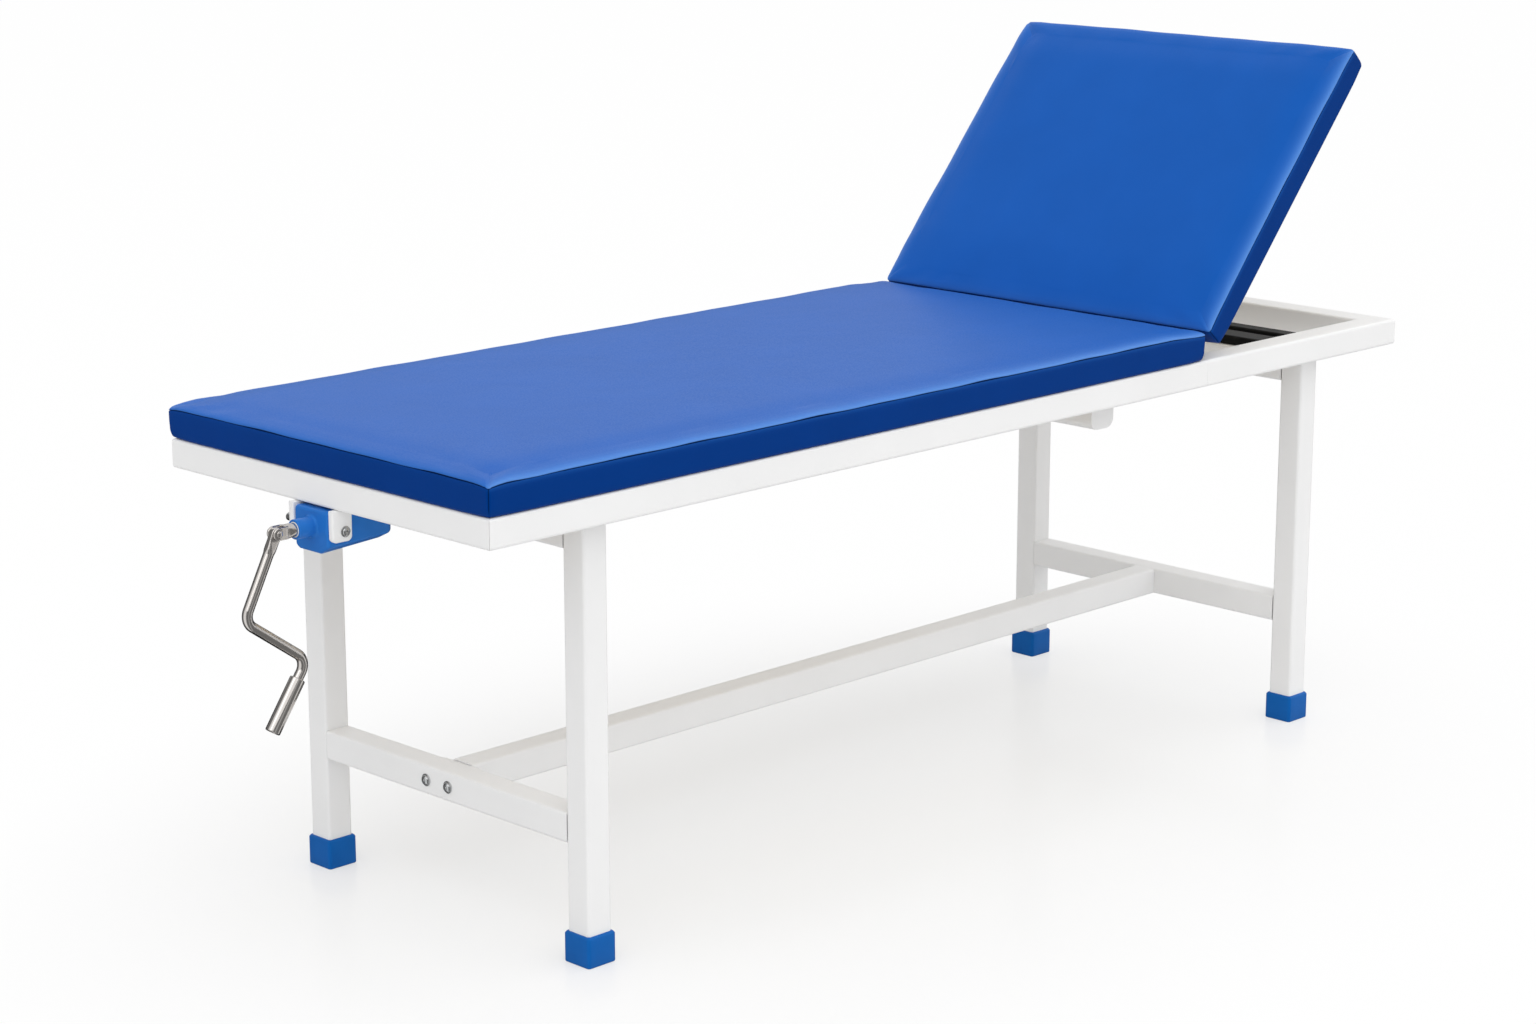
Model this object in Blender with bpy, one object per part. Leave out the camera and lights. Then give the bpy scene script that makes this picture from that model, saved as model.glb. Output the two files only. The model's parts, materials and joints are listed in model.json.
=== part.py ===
"""Examination table: a welded tube frame on four legs, a fixed seat pad and a
backrest that a folding crank at the foot end raises through a screw and a slotted lever.

Metres, +Z up, +X towards the head end, +Y towards the far side.
The origin is on the floor, in the middle of the whole object with its crank.
"""
import math

import bmesh
import bpy
from mathutils import Matrix, Vector

# overall sizes
FRAME_LENGTH = 1.880
FRAME_WIDTH = 0.644
FRAME_TOP = 0.630
RAIL_HEIGHT = 0.040
RAIL_WIDTH = 0.045
TUBE_WALL = 0.0018
TUBE_RADIUS = 0.004

# legs, lower frame and feet
LEG = 0.040
FOOT_LEG_SETBACK = 0.182
HEAD_LEG_SETBACK = 0.157
LEG_INSET = 0.035
TOP_BAR_HEIGHT = 0.042
LOW_BAR_MIDDLE = 0.180
LOW_BAR_HEIGHT = 0.041
STRETCHER_OFFSET = 0.010
END_PLATE_THICK = 0.004
END_PLATE_WIDTH = 0.072
BOLT_SPACING = 0.0446
BOLT_HOLE_R = 0.0043
BOLT_SHANK_R = 0.0040
BOLT_HEAD_R = 0.0070
BOLT_HEAD_HEIGHT = 0.0057
WASHER_LIP = 0.0015
WASHER_THICK = 0.0018
CAP_WALL = 0.0039
CAP_HEIGHT = 0.042
CAP_FLOOR = 0.006
CAP_RADIUS = 0.006
CAP_SOLE_EDGE = 0.002
CAP_RIM_EDGE = 0.0015

# pads
PAD_OVERHANG = 0.004
PAD_SIDE = 0.039
PAD_CROWN = 0.010
PAD_CORNER = 0.006
PAD_DRAW_IN = 0.002
CROWN_REACH = 0.170
BOARD_THICK = 0.012
BOARD_INSET = 0.018
BOARD_CORNER = 0.006
BACKREST_LENGTH = 0.520
BACKREST_OVERHANG = 0.0461
PAD_GAP = 0.0176

# backrest travel, counted from the pose that is modelled
BACKREST_ANGLE = 49.0
BACKREST_MAX = 70.0

# hinges and backrest frame
HINGE_ABOVE_FRAME = 0.028
HINGE_RAIL = 0.040
HINGE_RAIL_HEIGHT = 0.030
LEAF_WIDTH = 0.060
LEAF_THICK = 0.003
LEAF_DROP = 0.0535
KNUCKLE_R = 0.0062
KNUCKLE_LENGTH = 0.020
KNUCKLE_CLEAR = 0.0045
HINGE_PIN_R = 0.0030
HINGE_FROM_SIDE = 0.150
BACK_TUBE = 0.025
BACK_TUBE_SIDE_CLEAR = 0.006
BACK_TUBE_FROM_END = 0.1061

# cross rails, tray under the seat and rest bars
CROSS_RAIL = 0.040
MID_RAIL_X = 0.700
TRAY_FROM_HINGE = 0.159
TRAY_WIDTH = 0.050
TRAY_DEPTH = 0.047
TRAY_RADIUS = 0.014
TRAY_END = 0.062
TRAY_WALL = 0.003
REST_BAR_HEIGHT = 0.014
REST_BAR_1 = 0.030
REST_BAR_1_FROM_HEAD = 0.105
REST_BAR_2 = 0.045
REST_BAR_2_FROM_HEAD = 0.1675

# drive line
DRIVE_OFFSET = 0.018
DRIVE_BELOW_FRAME = 0.066
SHAFT_R = 0.0070
RUN_CLEAR = 0.0001
TUBE_OUT_R = 0.0110
TUBE_IN_R = 0.0090
GUIDE_HOLE_R = 0.0130
NUT_START = 0.200
NUT_FLANGE = 0.005
NUT_LENGTH = 0.030
SCREW_END = 0.315
SHAFT_JOIN = 0.020
YOKE_LENGTH = 0.055
YOKE_SLOT = 0.042
YOKE_HALF_WIDTH = 0.011
YOKE_R = 0.012
PIN_R = 0.006
LEVER_THICK = 0.008
LEVER_SLIP = 0.0032
LEVER_RIM = 0.009

# crank housing and its ears
HOUSING_FRONT = 0.006
HOUSING_TAIL = 0.100
HOUSING_HALF = 0.0345
HOUSING_BELOW = 0.0342
HOUSING_ABOVE = 0.0230
HOUSING_EDGE = 0.0045
HOUSING_CHAMFER_WIDE = 0.019
HOUSING_CHAMFER_HIGH = 0.011
COLLAR_R = 0.013
COLLAR_LENGTH = 0.027
RING_R = 0.0100
RING_DEPTH = 0.0025
RING_PROUD = 0.0006
EAR_THICK = 0.010
EAR_CLEAR = 0.001
EAR_START = -0.0035
EAR_LENGTH = 0.0282
EAR_DROP = 0.0417
EAR_RADIUS = 0.007
PIVOT_X = 0.013
PIVOT_BELOW_AXIS = 0.0025
PIVOT_R = 0.003
PIVOT_DEPTH = 0.013
PIVOT_HEAD_R = 0.0072
PIVOT_HEAD_HEIGHT = 0.0042
PIVOT_FAR_END = 0.022

# crank
KNUCKLE_OUT = 0.0613
FORK_R = 0.0085
FORK_LENGTH = 0.018
EYE_HALF = 0.0042
FOLD_PIN_R = 0.003
FOLD_PIN_HEAD_R = 0.0045
HANG_ANGLE = 27.0
BEND_ANGLE = 81.5
GRIP_ANGLE = 34.5
CRANK_SHANK = 0.1179
CRANK_ARM = 0.1167
CRANK_BEND_R = 0.018
ROD_R = 0.0065
ROD_START = 0.011
GRIP_FROM_BEND = 0.0267
GRIP_LENGTH = 0.0755
GRIP_R = 0.0098
ROD_IN_GRIP = 0.060
GRIP_CLEAR = 0.0002

# clearances
GAP = 0.0003
MITRE_GAP = 0.0002
HOLE_CLEAR = 0.0004

# positions that follow from the sizes
HANG = math.radians(HANG_ANGLE)
BEND = math.radians(BEND_ANGLE)
ELBOW_CUT = CRANK_BEND_R * (math.cos(BEND / 2 - HANG) / math.cos(BEND / 2) - 1)
CRANK_REACH = KNUCKLE_OUT + CRANK_SHANK * math.sin(HANG) - ELBOW_CUT + ROD_R
FOOT = -(FRAME_LENGTH - CRANK_REACH) / 2
HEAD = FOOT + FRAME_LENGTH
NEAR = -FRAME_WIDTH / 2
FAR = FRAME_WIDTH / 2
RAIL_BOTTOM = FRAME_TOP - RAIL_HEIGHT
INNER = FRAME_WIDTH / 2 - RAIL_WIDTH - GAP
SEAT_END = HEAD + BACKREST_OVERHANG - BACKREST_LENGTH - PAD_GAP
AXIS_X = SEAT_END + PAD_GAP / 2
AXIS_Z = FRAME_TOP + HINGE_ABOVE_FRAME
HINGE_AXIS = Vector((AXIS_X, 0, AXIS_Z))
BACK_START = SEAT_END + PAD_GAP
DRIVE_Z = FRAME_TOP - DRIVE_BELOW_FRAME
LEVER_DROP = AXIS_Z - DRIVE_Z
HALF_SWING = math.radians(BACKREST_MAX / 2)
SLIDE_PER_RADIAN = LEVER_DROP * math.tan(HALF_SWING) / HALF_SWING
LEVER_REST = math.radians(BACKREST_ANGLE - BACKREST_MAX / 2)
PIN_X = AXIS_X + SLIDE_PER_RADIAN * LEVER_REST
FOOT_LEG_X = FOOT + FOOT_LEG_SETBACK
HEAD_LEG_X = HEAD - HEAD_LEG_SETBACK - LEG
LEG_INNER = FRAME_WIDTH / 2 - LEG_INSET - LEG
TRAY_X = SEAT_END - TRAY_FROM_HINGE

for old in list(bpy.data.objects):
    bpy.data.objects.remove(old, do_unlink=True)


def material(name, colour, rough, metal=0.0):
    """A Principled material with one colour."""
    mat = bpy.data.materials.new(name)
    mat.use_nodes = True
    shader = mat.node_tree.nodes["Principled BSDF"]
    shader.inputs["Base Color"].default_value = (*colour, 1)
    shader.inputs["Roughness"].default_value = rough
    shader.inputs["Metallic"].default_value = metal
    return mat


WHITE = material("white_powder_coat", (0.84, 0.84, 0.84), 0.35)
BLACK = material("black_paint", (0.012, 0.012, 0.013), 0.45)
BLUE_VINYL = material("blue_vinyl", (0.026, 0.122, 0.48), 0.38)
BLUE_CAP = material("blue_plastic", (0.013, 0.107, 0.402), 0.4)
BLUE_HOUSING = material("light_blue_plastic", (0.028, 0.188, 0.604), 0.38)
PLYWOOD = material("birch_plywood", (0.55, 0.40, 0.24), 0.6)
ZINC = material("zinc_plate", (0.62, 0.63, 0.65), 0.35, 1.0)
STEEL = material("polished_stainless", (0.68, 0.68, 0.68), 0.12, 1.0)
BRONZE = material("nut_bronze", (0.50, 0.32, 0.14), 0.35, 1.0)


def add(name, bm, mat, pivot=None, parent=None):
    """One object from a bmesh in world places; its origin goes to the pivot."""
    bmesh.ops.recalc_face_normals(bm, faces=bm.faces)
    mesh = bpy.data.meshes.new(name)
    bm.to_mesh(mesh)
    bm.free()
    ob = bpy.data.objects.new(name, mesh)
    bpy.context.scene.collection.objects.link(ob)
    if mat:
        mesh.materials.append(mat)
    if pivot is not None:
        mesh.transform(Matrix.Translation(-Vector(pivot)))
        ob.location = pivot
    if parent is not None:
        ob.parent = parent
        ob.location = (0, 0, 0)
    return ob


def skin(rings, looped=False):
    """A bmesh through rings of points, capped at both ends or looped back to the first."""
    bm = bmesh.new()
    rows = [[bm.verts.new(p) for p in ring] for ring in rings]
    pairs = list(zip(rows, rows[1:]))
    if looped:
        pairs.append((rows[-1], rows[0]))
    else:
        bm.faces.new(rows[0])
        bm.faces.new(rows[-1])
    for low, high in pairs:
        for i in range(len(low)):
            j = (i + 1) % len(low)
            bm.faces.new((low[i], low[j], high[j], high[i]))
    return bm


def rounded(width, height, radius, steps=3):
    """Points of a rounded rectangle about its middle."""
    points = []
    for k, (su, sv) in enumerate(((1, 1), (-1, 1), (-1, -1), (1, -1))):
        for i in range(steps + 1):
            a = math.pi / 2 * (k + i / steps)
            u = su * (width / 2 - radius) + radius * math.cos(a)
            v = sv * (height / 2 - radius) + radius * math.sin(a)
            points.append((u, v))
    return points


def along(axis, a, u, v):
    """A point a along the axis, with the two other coordinates in order."""
    return Vector({"X": (a, u, v), "Y": (u, a, v), "Z": (u, v, a)}[axis])


def tube(name, axis, start, end, middle, size, mat, pivot=None, parent=None):
    """A hollow rectangular tube; a mitred end is a function of the first cross coordinate."""
    def ring(stop, inset):
        radius = max(TUBE_RADIUS - inset, 0.001)
        points = []
        for u, v in rounded(size[0] - 2 * inset, size[1] - 2 * inset, radius):
            u += middle[0]
            a = stop(u) if callable(stop) else stop
            points.append(along(axis, a, u, v + middle[1]))
        return points
    rings = [ring(start, 0), ring(end, 0), ring(end, TUBE_WALL), ring(start, TUBE_WALL)]
    return add(name, skin(rings, True), mat, pivot, parent)


def turned(axis, origin, profile, sides=32):
    """A solid of revolution from (distance along the axis, radius) pairs."""
    rings = []
    for a, r in profile:
        ring = []
        for i in range(sides):
            t = 2 * math.pi * i / sides
            ring.append(Vector(origin) + along(axis, a, r * math.cos(t), r * math.sin(t)))
        rings.append(ring)
    return rings


def prism(outline, axis, start, end):
    """A bmesh of an outline in the two other coordinates, pulled along an axis."""
    rings = [[along(axis, a, u, v) for u, v in outline] for a in (start, end)]
    return skin(rings)


def box(low, high, radius=0.0):
    """A bmesh box between two corners, with its edges rounded if a radius is given."""
    size = [h - l for l, h in zip(low, high)]
    middle = Vector([(l + h) / 2 for l, h in zip(low, high)])
    bm = bmesh.new()
    bmesh.ops.create_cube(bm, matrix=Matrix.Translation(middle) @ Matrix.Diagonal((*size, 1)))
    if radius:
        bmesh.ops.bevel(bm, geom=bm.edges[:], offset=radius, segments=3, profile=0.5, affect="EDGES")
    return bm


def arc(centre, radius, first, last, steps):
    """Points along an arc, angles in degrees."""
    points = []
    for i in range(steps + 1):
        a = math.radians(first + (last - first) * i / steps)
        points.append((centre[0] + radius * math.cos(a), centre[1] + radius * math.sin(a)))
    return points


def combine(ob, tool, operation="DIFFERENCE"):
    """Takes a tool body from an object, or joins it on."""
    tool.hide_render = True
    tool.display_type = "WIRE"
    mod = ob.modifiers.new(operation.lower(), "BOOLEAN")
    mod.operation = operation
    mod.solver = "EXACT"
    mod.object = tool


def drill(ob, axis, origin, start, end, radius, pivot=None, parent=None):
    """A round hole along an axis."""
    rings = turned(axis, origin, ((start, radius), (end, radius)))
    combine(ob, add(ob.name + "_drill", skin(rings), None, pivot, parent))


def top_frame():
    """Mitred rails, each side rail in two lengths that meet under the backrest hinge."""
    z = FRAME_TOP - RAIL_HEIGHT / 2
    size = (RAIL_WIDTH, RAIL_HEIGHT)
    splice = AXIS_X
    for side, sign in (("near", -1), ("far", 1)):
        y = sign * (FRAME_WIDTH - RAIL_WIDTH) / 2

        def foot_mitre(u, sign=sign):
            return FOOT + FAR - sign * u + MITRE_GAP

        def head_mitre(u, sign=sign):
            return HEAD - FAR + sign * u - MITRE_GAP

        tube(f"seat_rail_{side}", "X", foot_mitre, splice - GAP / 2, (y, z), size, WHITE)
        tube(f"head_rail_{side}", "X", splice + GAP / 2, head_mitre, (y, z), size, WHITE)

    def near_mitre(u, face, sign):
        return NEAR + sign * (u - face) + MITRE_GAP

    for name, face, sign in (("foot_end_rail", FOOT, 1), ("head_end_rail", HEAD, -1)):
        x = face + sign * RAIL_WIDTH / 2
        tube(
            name, "Y",
            lambda u, f=face, s=sign: near_mitre(u, f, s),
            lambda u, f=face, s=sign: -near_mitre(u, f, s),
            (x, z), size, WHITE,
        )
    rails = (
        ("foot_cross_rail", FOOT_LEG_X + LEG / 2, CROSS_RAIL, RAIL_HEIGHT),
        ("middle_cross_rail", FOOT + MID_RAIL_X, CROSS_RAIL, RAIL_HEIGHT),
        ("tray_cross_rail", TRAY_X, CROSS_RAIL, RAIL_HEIGHT),
        ("hinge_cross_rail", SEAT_END - HINGE_RAIL / 2, HINGE_RAIL, HINGE_RAIL_HEIGHT),
    )
    for name, x, width, height in rails:
        tube(name, "Y", -INNER, INNER, (x, FRAME_TOP - height / 2), (width, height), WHITE)
    top = FRAME_TOP - BACK_TUBE - GAP
    bars = (
        ("rest_bar_head", HEAD - REST_BAR_1_FROM_HEAD, REST_BAR_1),
        ("rest_bar_inner", HEAD - REST_BAR_2_FROM_HEAD, REST_BAR_2),
    )
    for name, x, width in bars:
        tube(name, "Y", -INNER, INNER, (x, top - REST_BAR_HEIGHT / 2), (width, REST_BAR_HEIGHT), BLACK)


def tray():
    """The pressed tray that guides the drive tube under the seat."""
    half = FRAME_WIDTH / 2 - TRAY_END
    top = RAIL_BOTTOM - GAP
    low = top - TRAY_DEPTH

    def outline(inset, lift):
        w = TRAY_WIDTH / 2 - inset
        r = TRAY_RADIUS - inset
        base = low + inset
        return (
            [(TRAY_X + w, top + lift), (TRAY_X - w, top + lift)]
            + arc((TRAY_X - w + r, base + r), r, 180, 270, 5)
            + arc((TRAY_X + w - r, base + r), r, 270, 360, 5)
        )

    body = add("drive_tray", prism(outline(0, 0), "Y", -half, half), WHITE)
    hollow = prism(outline(TRAY_WALL, 0.01), "Y", -half + TRAY_WALL, half - TRAY_WALL)
    combine(body, add("drive_tray_hollow", hollow, None))
    drill(body, "X", (TRAY_X, DRIVE_OFFSET, DRIVE_Z), -TRAY_WIDTH, TRAY_WIDTH, GUIDE_HOLE_R)


def legs():
    """Legs with their moulded feet, crossbars, and the bolted stretcher."""
    top = RAIL_BOTTOM - GAP
    y = FRAME_WIDTH / 2 - LEG_INSET - LEG / 2
    for end, x in (("foot", FOOT_LEG_X), ("head", HEAD_LEG_X)):
        mid = x + LEG / 2
        for side, sign in (("near", -1), ("far", 1)):
            tube(f"leg_{end}_{side}", "Z", CAP_FLOOR + GAP, top, (mid, sign * y), (LEG, LEG), WHITE)
            foot_cap(f"foot_cap_{end}_{side}", mid, sign * y)
        reach = LEG_INNER - GAP
        bar = tube(
            f"top_crossbar_{end}", "Y", -reach, reach,
            (mid, top - TOP_BAR_HEIGHT / 2), (LEG, TOP_BAR_HEIGHT), WHITE,
        )
        if end == "foot":
            drill(bar, "X", (mid, DRIVE_OFFSET, DRIVE_Z), -LEG, LEG, GUIDE_HOLE_R)
        low = tube(
            f"low_crossbar_{end}", "Y", -reach, reach,
            (mid, LOW_BAR_MIDDLE), (LEG, LOW_BAR_HEIGHT), WHITE,
        )
        if end == "foot":
            stretcher_bolts(low, x)
    start = FOOT_LEG_X + LEG + END_PLATE_THICK + 2 * GAP
    tube(
        "stretcher", "X", start, HEAD_LEG_X - GAP,
        (STRETCHER_OFFSET, LOW_BAR_MIDDLE), (LEG, LOW_BAR_HEIGHT), WHITE,
    )


def foot_cap(name, x, y):
    """A moulded cup over the end of a leg."""
    inner = LEG + 2 * GAP
    outer = inner + 2 * CAP_WALL
    rows = (
        (outer - 2 * CAP_SOLE_EDGE, 0, CAP_RADIUS - CAP_SOLE_EDGE),
        (outer, CAP_SOLE_EDGE, CAP_RADIUS),
        (outer, CAP_HEIGHT - CAP_RIM_EDGE, CAP_RADIUS),
        (outer - 2 * CAP_RIM_EDGE, CAP_HEIGHT, CAP_RADIUS - CAP_RIM_EDGE),
        (inner, CAP_HEIGHT, TUBE_RADIUS),
        (inner, CAP_FLOOR, TUBE_RADIUS),
    )
    rings = []
    for size, z, radius in rows:
        rings.append([Vector((x + u, y + v, z)) for u, v in rounded(size, size, radius, 4)])
    add(name, skin(rings), BLUE_CAP)


def stretcher_bolts(bar, face):
    """The stretcher's end plate and its two bolts through the foot crossbar."""
    x = face + LEG + GAP
    half = END_PLATE_WIDTH / 2
    z = LOW_BAR_HEIGHT / 2 - 0.002
    low = (x, STRETCHER_OFFSET - half, LOW_BAR_MIDDLE - z)
    high = (x + END_PLATE_THICK, STRETCHER_OFFSET + half, LOW_BAR_MIDDLE + z)
    plate = add("stretcher_end_plate", box(low, high), WHITE)
    for side, sign in (("near", -1), ("far", 1)):
        at = (face, STRETCHER_OFFSET + sign * BOLT_SPACING / 2, LOW_BAR_MIDDLE)
        drill(bar, "X", at, -LEG, 2 * LEG, BOLT_HOLE_R)
        drill(plate, "X", at, -LEG, 2 * LEG, BOLT_HOLE_R)
        top = -GAP - WASHER_THICK
        bolt = (
            (top - BOLT_HEAD_HEIGHT, BOLT_HEAD_R * 0.36),
            (top - BOLT_HEAD_HEIGHT * 0.83, BOLT_HEAD_R * 0.74),
            (top - BOLT_HEAD_HEIGHT * 0.47, BOLT_HEAD_R),
            (top, BOLT_HEAD_R),
            (top, BOLT_HEAD_R + WASHER_LIP),
            (-GAP, BOLT_HEAD_R + WASHER_LIP),
            (-GAP, BOLT_SHANK_R),
            (LEG + END_PLATE_THICK + GAP, BOLT_SHANK_R),
        )
        add(f"stretcher_bolt_{side}", skin(turned("X", at, bolt, 24)), ZINC)


def pad(name, start, end, base, parent=None, pivot=None):
    """An upholstered pad: drawn-in sides, a seam groove, a crown and a recess for the board."""
    length = end - start
    width = FRAME_WIDTH + 2 * PAD_OVERHANG
    mid = (start + end) / 2

    def ring(inset, z, radius):
        shape = rounded(length - 2 * inset, width - 2 * inset, radius, 6)
        return [Vector((mid + u, v, base + z)) for u, v in shape]

    rings = []
    recess = BOARD_INSET - GAP
    rings.append(ring(recess, BOARD_THICK + GAP, BOARD_CORNER))
    rings.append(ring(recess, 0, BOARD_CORNER))
    for share in (0, 0.12, 0.3, 0.55, 0.8, 1):
        inset = PAD_DRAW_IN * (1 - share) ** 2
        rings.append(ring(inset, share * (PAD_SIDE - 0.0012), PAD_CORNER - inset))
    rings.append(ring(0.0014, PAD_SIDE, PAD_CORNER - 0.0014))
    for reach in (0.0, 0.02, 0.06, 0.12, 0.22, 0.36, 0.55, 0.78, 1.0):
        inset = 0.0008 + CROWN_REACH * reach
        rise = 0.0012 + PAD_CROWN * (1 - (1 - reach) ** 2.6)
        rings.append(ring(inset, PAD_SIDE + rise, PAD_CORNER + 0.3 * inset))
    return add(name, skin(rings), BLUE_VINYL, pivot, parent)


def board(name, start, end, base, parent=None, pivot=None):
    """The plywood board in a pad's underside."""
    width = FRAME_WIDTH + 2 * (PAD_OVERHANG - BOARD_INSET)
    mid = (start + end) / 2
    shape = rounded(end - start - 2 * BOARD_INSET, width, BOARD_CORNER)
    plate = prism([(mid + u, v) for u, v in shape], "Z", base, base + BOARD_THICK)
    add(name, plate, PLYWOOD, pivot, parent)


def seat():
    """The fixed seat pad on its board."""
    base = FRAME_TOP + GAP
    start = FOOT - PAD_OVERHANG
    pad("seat_pad", start, SEAT_END, base)
    board("seat_board", start, SEAT_END, base)


def hinge_leaf(name, y, sign, knuckles, mat, parent=None, pivot=None):
    """A hinge leaf: a plate beside the pad's end, with its knuckles about the axis."""
    outer = PAD_GAP / 2 - GAP
    x = sorted((AXIS_X + sign * outer, AXIS_X + sign * (outer - LEAF_THICK)))
    low = AXIS_Z - LEAF_DROP
    neck = AXIS_Z - KNUCKLE_CLEAR
    half = LEAF_WIDTH / 2
    outline = [(y - half, low), (y + half, low)]
    for first, last in reversed(knuckles):
        outline += [(y + last, neck), (y + last, AXIS_Z), (y + first, AXIS_Z), (y + first, neck)]
    clean = [p for i, p in enumerate(outline) if p != outline[i - 1]]
    if clean[-1] != (y - half, neck):
        clean.append((y - half, neck))
    if (y + half, neck) not in clean:
        clean.insert(2, (y + half, neck))
    leaf = add(name, prism(clean, "X", x[0], x[1]), mat, pivot, parent)
    for i, (first, last) in enumerate(knuckles):
        rings = turned("Y", (AXIS_X, y, AXIS_Z), ((first, KNUCKLE_R), (last, KNUCKLE_R)), 24)
        barrel = add(f"{name}_barrel_{i}", skin(rings), None, pivot, parent)
        combine(leaf, barrel, "UNION")
    hole = HINGE_PIN_R + RUN_CLEAR
    drill(leaf, "Y", (AXIS_X, y, AXIS_Z), -LEAF_WIDTH, LEAF_WIDTH, hole, pivot, parent)


def hinges(pivot):
    """Two butt hinges in the gap between the pads."""
    half = LEAF_WIDTH / 2
    mid = KNUCKLE_LENGTH / 2
    outer = ((-half, -mid - GAP), (mid + GAP, half))
    for side, sign in (("near", -1), ("far", 1)):
        y = sign * (FRAME_WIDTH / 2 - HINGE_FROM_SIDE)
        hinge_leaf(f"hinge_fixed_leaf_{side}", y, -1, outer, ZINC)
        hinge_leaf(f"hinge_moving_leaf_{side}", y, 1, ((-mid, mid),), ZINC, pivot, HINGE_AXIS)
        pin = ((-half - 0.001, HINGE_PIN_R), (half + 0.001, HINGE_PIN_R))
        add(f"hinge_pin_{side}", skin(turned("Y", (AXIS_X, y, AXIS_Z), pin, 24)), ZINC)


def backrest(pivot):
    """The backrest, built lying flat about its hinge axis and turned up by its pivot."""
    base = FRAME_TOP + GAP
    end = BACK_START + BACKREST_LENGTH
    pad("backrest_pad", BACK_START, end, base, pivot, HINGE_AXIS)
    board("backrest_board", BACK_START, end, base, pivot, HINGE_AXIS)
    size = (BACK_TUBE, BACK_TUBE)
    z = FRAME_TOP - BACK_TUBE / 2
    half = INNER + GAP - BACK_TUBE_SIDE_CLEAR
    last = end - BACK_TUBE_FROM_END
    first_mid = BACK_START + BACK_TUBE / 2
    last_mid = last - BACK_TUBE / 2
    ends = (("backrest_tube_hinge", first_mid), ("backrest_tube_head", last_mid))
    for name, x in ends:
        tube(name, "Y", -half, half, (x, z), size, BLACK, HINGE_AXIS, pivot)
    for side, sign in (("near", -1), ("far", 1)):
        y = sign * (half - BACK_TUBE / 2)
        tube(
            f"backrest_tube_{side}", "X",
            BACK_START + BACK_TUBE + GAP, last - BACK_TUBE - GAP,
            (y, z), size, BLACK, HINGE_AXIS, pivot,
        )
    lever(pivot)


def lever(pivot):
    """The slotted lever under the backrest's hinge tube, in the flat pose."""
    down = Vector((-math.sin(HALF_SWING), -math.cos(HALF_SWING)))
    axis = Vector((AXIS_X, AXIS_Z))
    slot_r = PIN_R + LEVER_SLIP
    boss_r = slot_r + LEVER_RIM
    upper = axis + down * (LEVER_DROP - PIN_R - 0.001 + slot_r)
    lower = axis + down * (LEVER_DROP / math.cos(HALF_SWING) + PIN_R + 0.001 - slot_r)
    turn = math.degrees(HALF_SWING)
    tube_low = FRAME_TOP - BACK_TUBE - GAP
    shelf = FRAME_TOP - HINGE_RAIL_HEIGHT - 0.0045
    front = BACK_START + 0.001
    back = BACK_START + BACK_TUBE - 0.002
    outline = [(front, tube_low), (back, tube_low), (back, tube_low - 0.008)]
    outline.append((back - 0.012, tube_low - 0.024))
    outline += [tuple(lower + Vector((0.040, 0.001)))]
    outline += arc(lower, boss_r, -turn, -turn - 180, 10)
    outline += arc(upper, boss_r, 180 - turn, 95 - turn, 5)
    outline += [(AXIS_X - 0.036, shelf), (front - 0.006, shelf), (front, shelf + 0.004)]
    y = DRIVE_OFFSET
    plate = prism(outline, "Y", y - LEVER_THICK / 2, y + LEVER_THICK / 2)
    body = add("lift_lever", plate, BLACK, HINGE_AXIS, pivot)
    slot = arc(lower, slot_r, -turn, -turn - 180, 12) + arc(upper, slot_r, 180 - turn, -turn, 12)
    cutter = prism(slot, "Y", y - LEVER_THICK, y + LEVER_THICK)
    combine(body, add("lift_lever_slot", cutter, None, HINGE_AXIS, pivot))


def drive():
    """The drive tube with its nut and the yoke whose pin pushes the lever."""
    at = (FOOT, DRIVE_OFFSET, DRIVE_Z)
    start = NUT_START + NUT_FLANGE + GAP
    stop = PIN_X - FOOT - YOKE_LENGTH - GAP
    profile = ((start, TUBE_OUT_R), (stop, TUBE_OUT_R), (stop, TUBE_IN_R), (start, TUBE_IN_R))
    add("drive_tube", skin(turned("X", at, profile), True), ZINC)
    bore = SHAFT_R + RUN_CLEAR
    body = TUBE_IN_R - GAP
    nut = (
        (NUT_START, TUBE_OUT_R),
        (NUT_START + NUT_FLANGE, TUBE_OUT_R),
        (NUT_START + NUT_FLANGE, body),
        (NUT_START + NUT_FLANGE + NUT_LENGTH, body),
        (NUT_START + NUT_FLANGE + NUT_LENGTH, bore),
        (NUT_START, bore),
    )
    add("drive_nut", skin(turned("X", at, nut), True), BRONZE)
    outline = arc((PIN_X, DRIVE_Z), YOKE_R, -90, 90, 12)
    outline += [(PIN_X - YOKE_LENGTH, DRIVE_Z + YOKE_R), (PIN_X - YOKE_LENGTH, DRIVE_Z - YOKE_R)]
    y = DRIVE_OFFSET
    yoke = add("drive_yoke", prism(outline, "Y", y - YOKE_HALF_WIDTH, y + YOKE_HALF_WIDTH), ZINC)
    room = LEVER_THICK / 2 + 0.001
    low = (PIN_X - YOKE_SLOT, y - room, DRIVE_Z - 0.05)
    high = (PIN_X + 0.05, y + room, DRIVE_Z + 0.05)
    combine(yoke, add("drive_yoke_slot", box(low, high), None))
    centre = (PIN_X, y, DRIVE_Z)
    drill(yoke, "Y", centre, -0.03, 0.03, PIN_R + 0.0002)
    end = YOKE_HALF_WIDTH + 0.002
    pin = ((-end, PIN_R - 0.001), (-end + 0.001, PIN_R), (end - 0.001, PIN_R), (end, PIN_R - 0.001))
    add("drive_pin", skin(turned("Y", centre, pin, 24)), STEEL)


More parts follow.
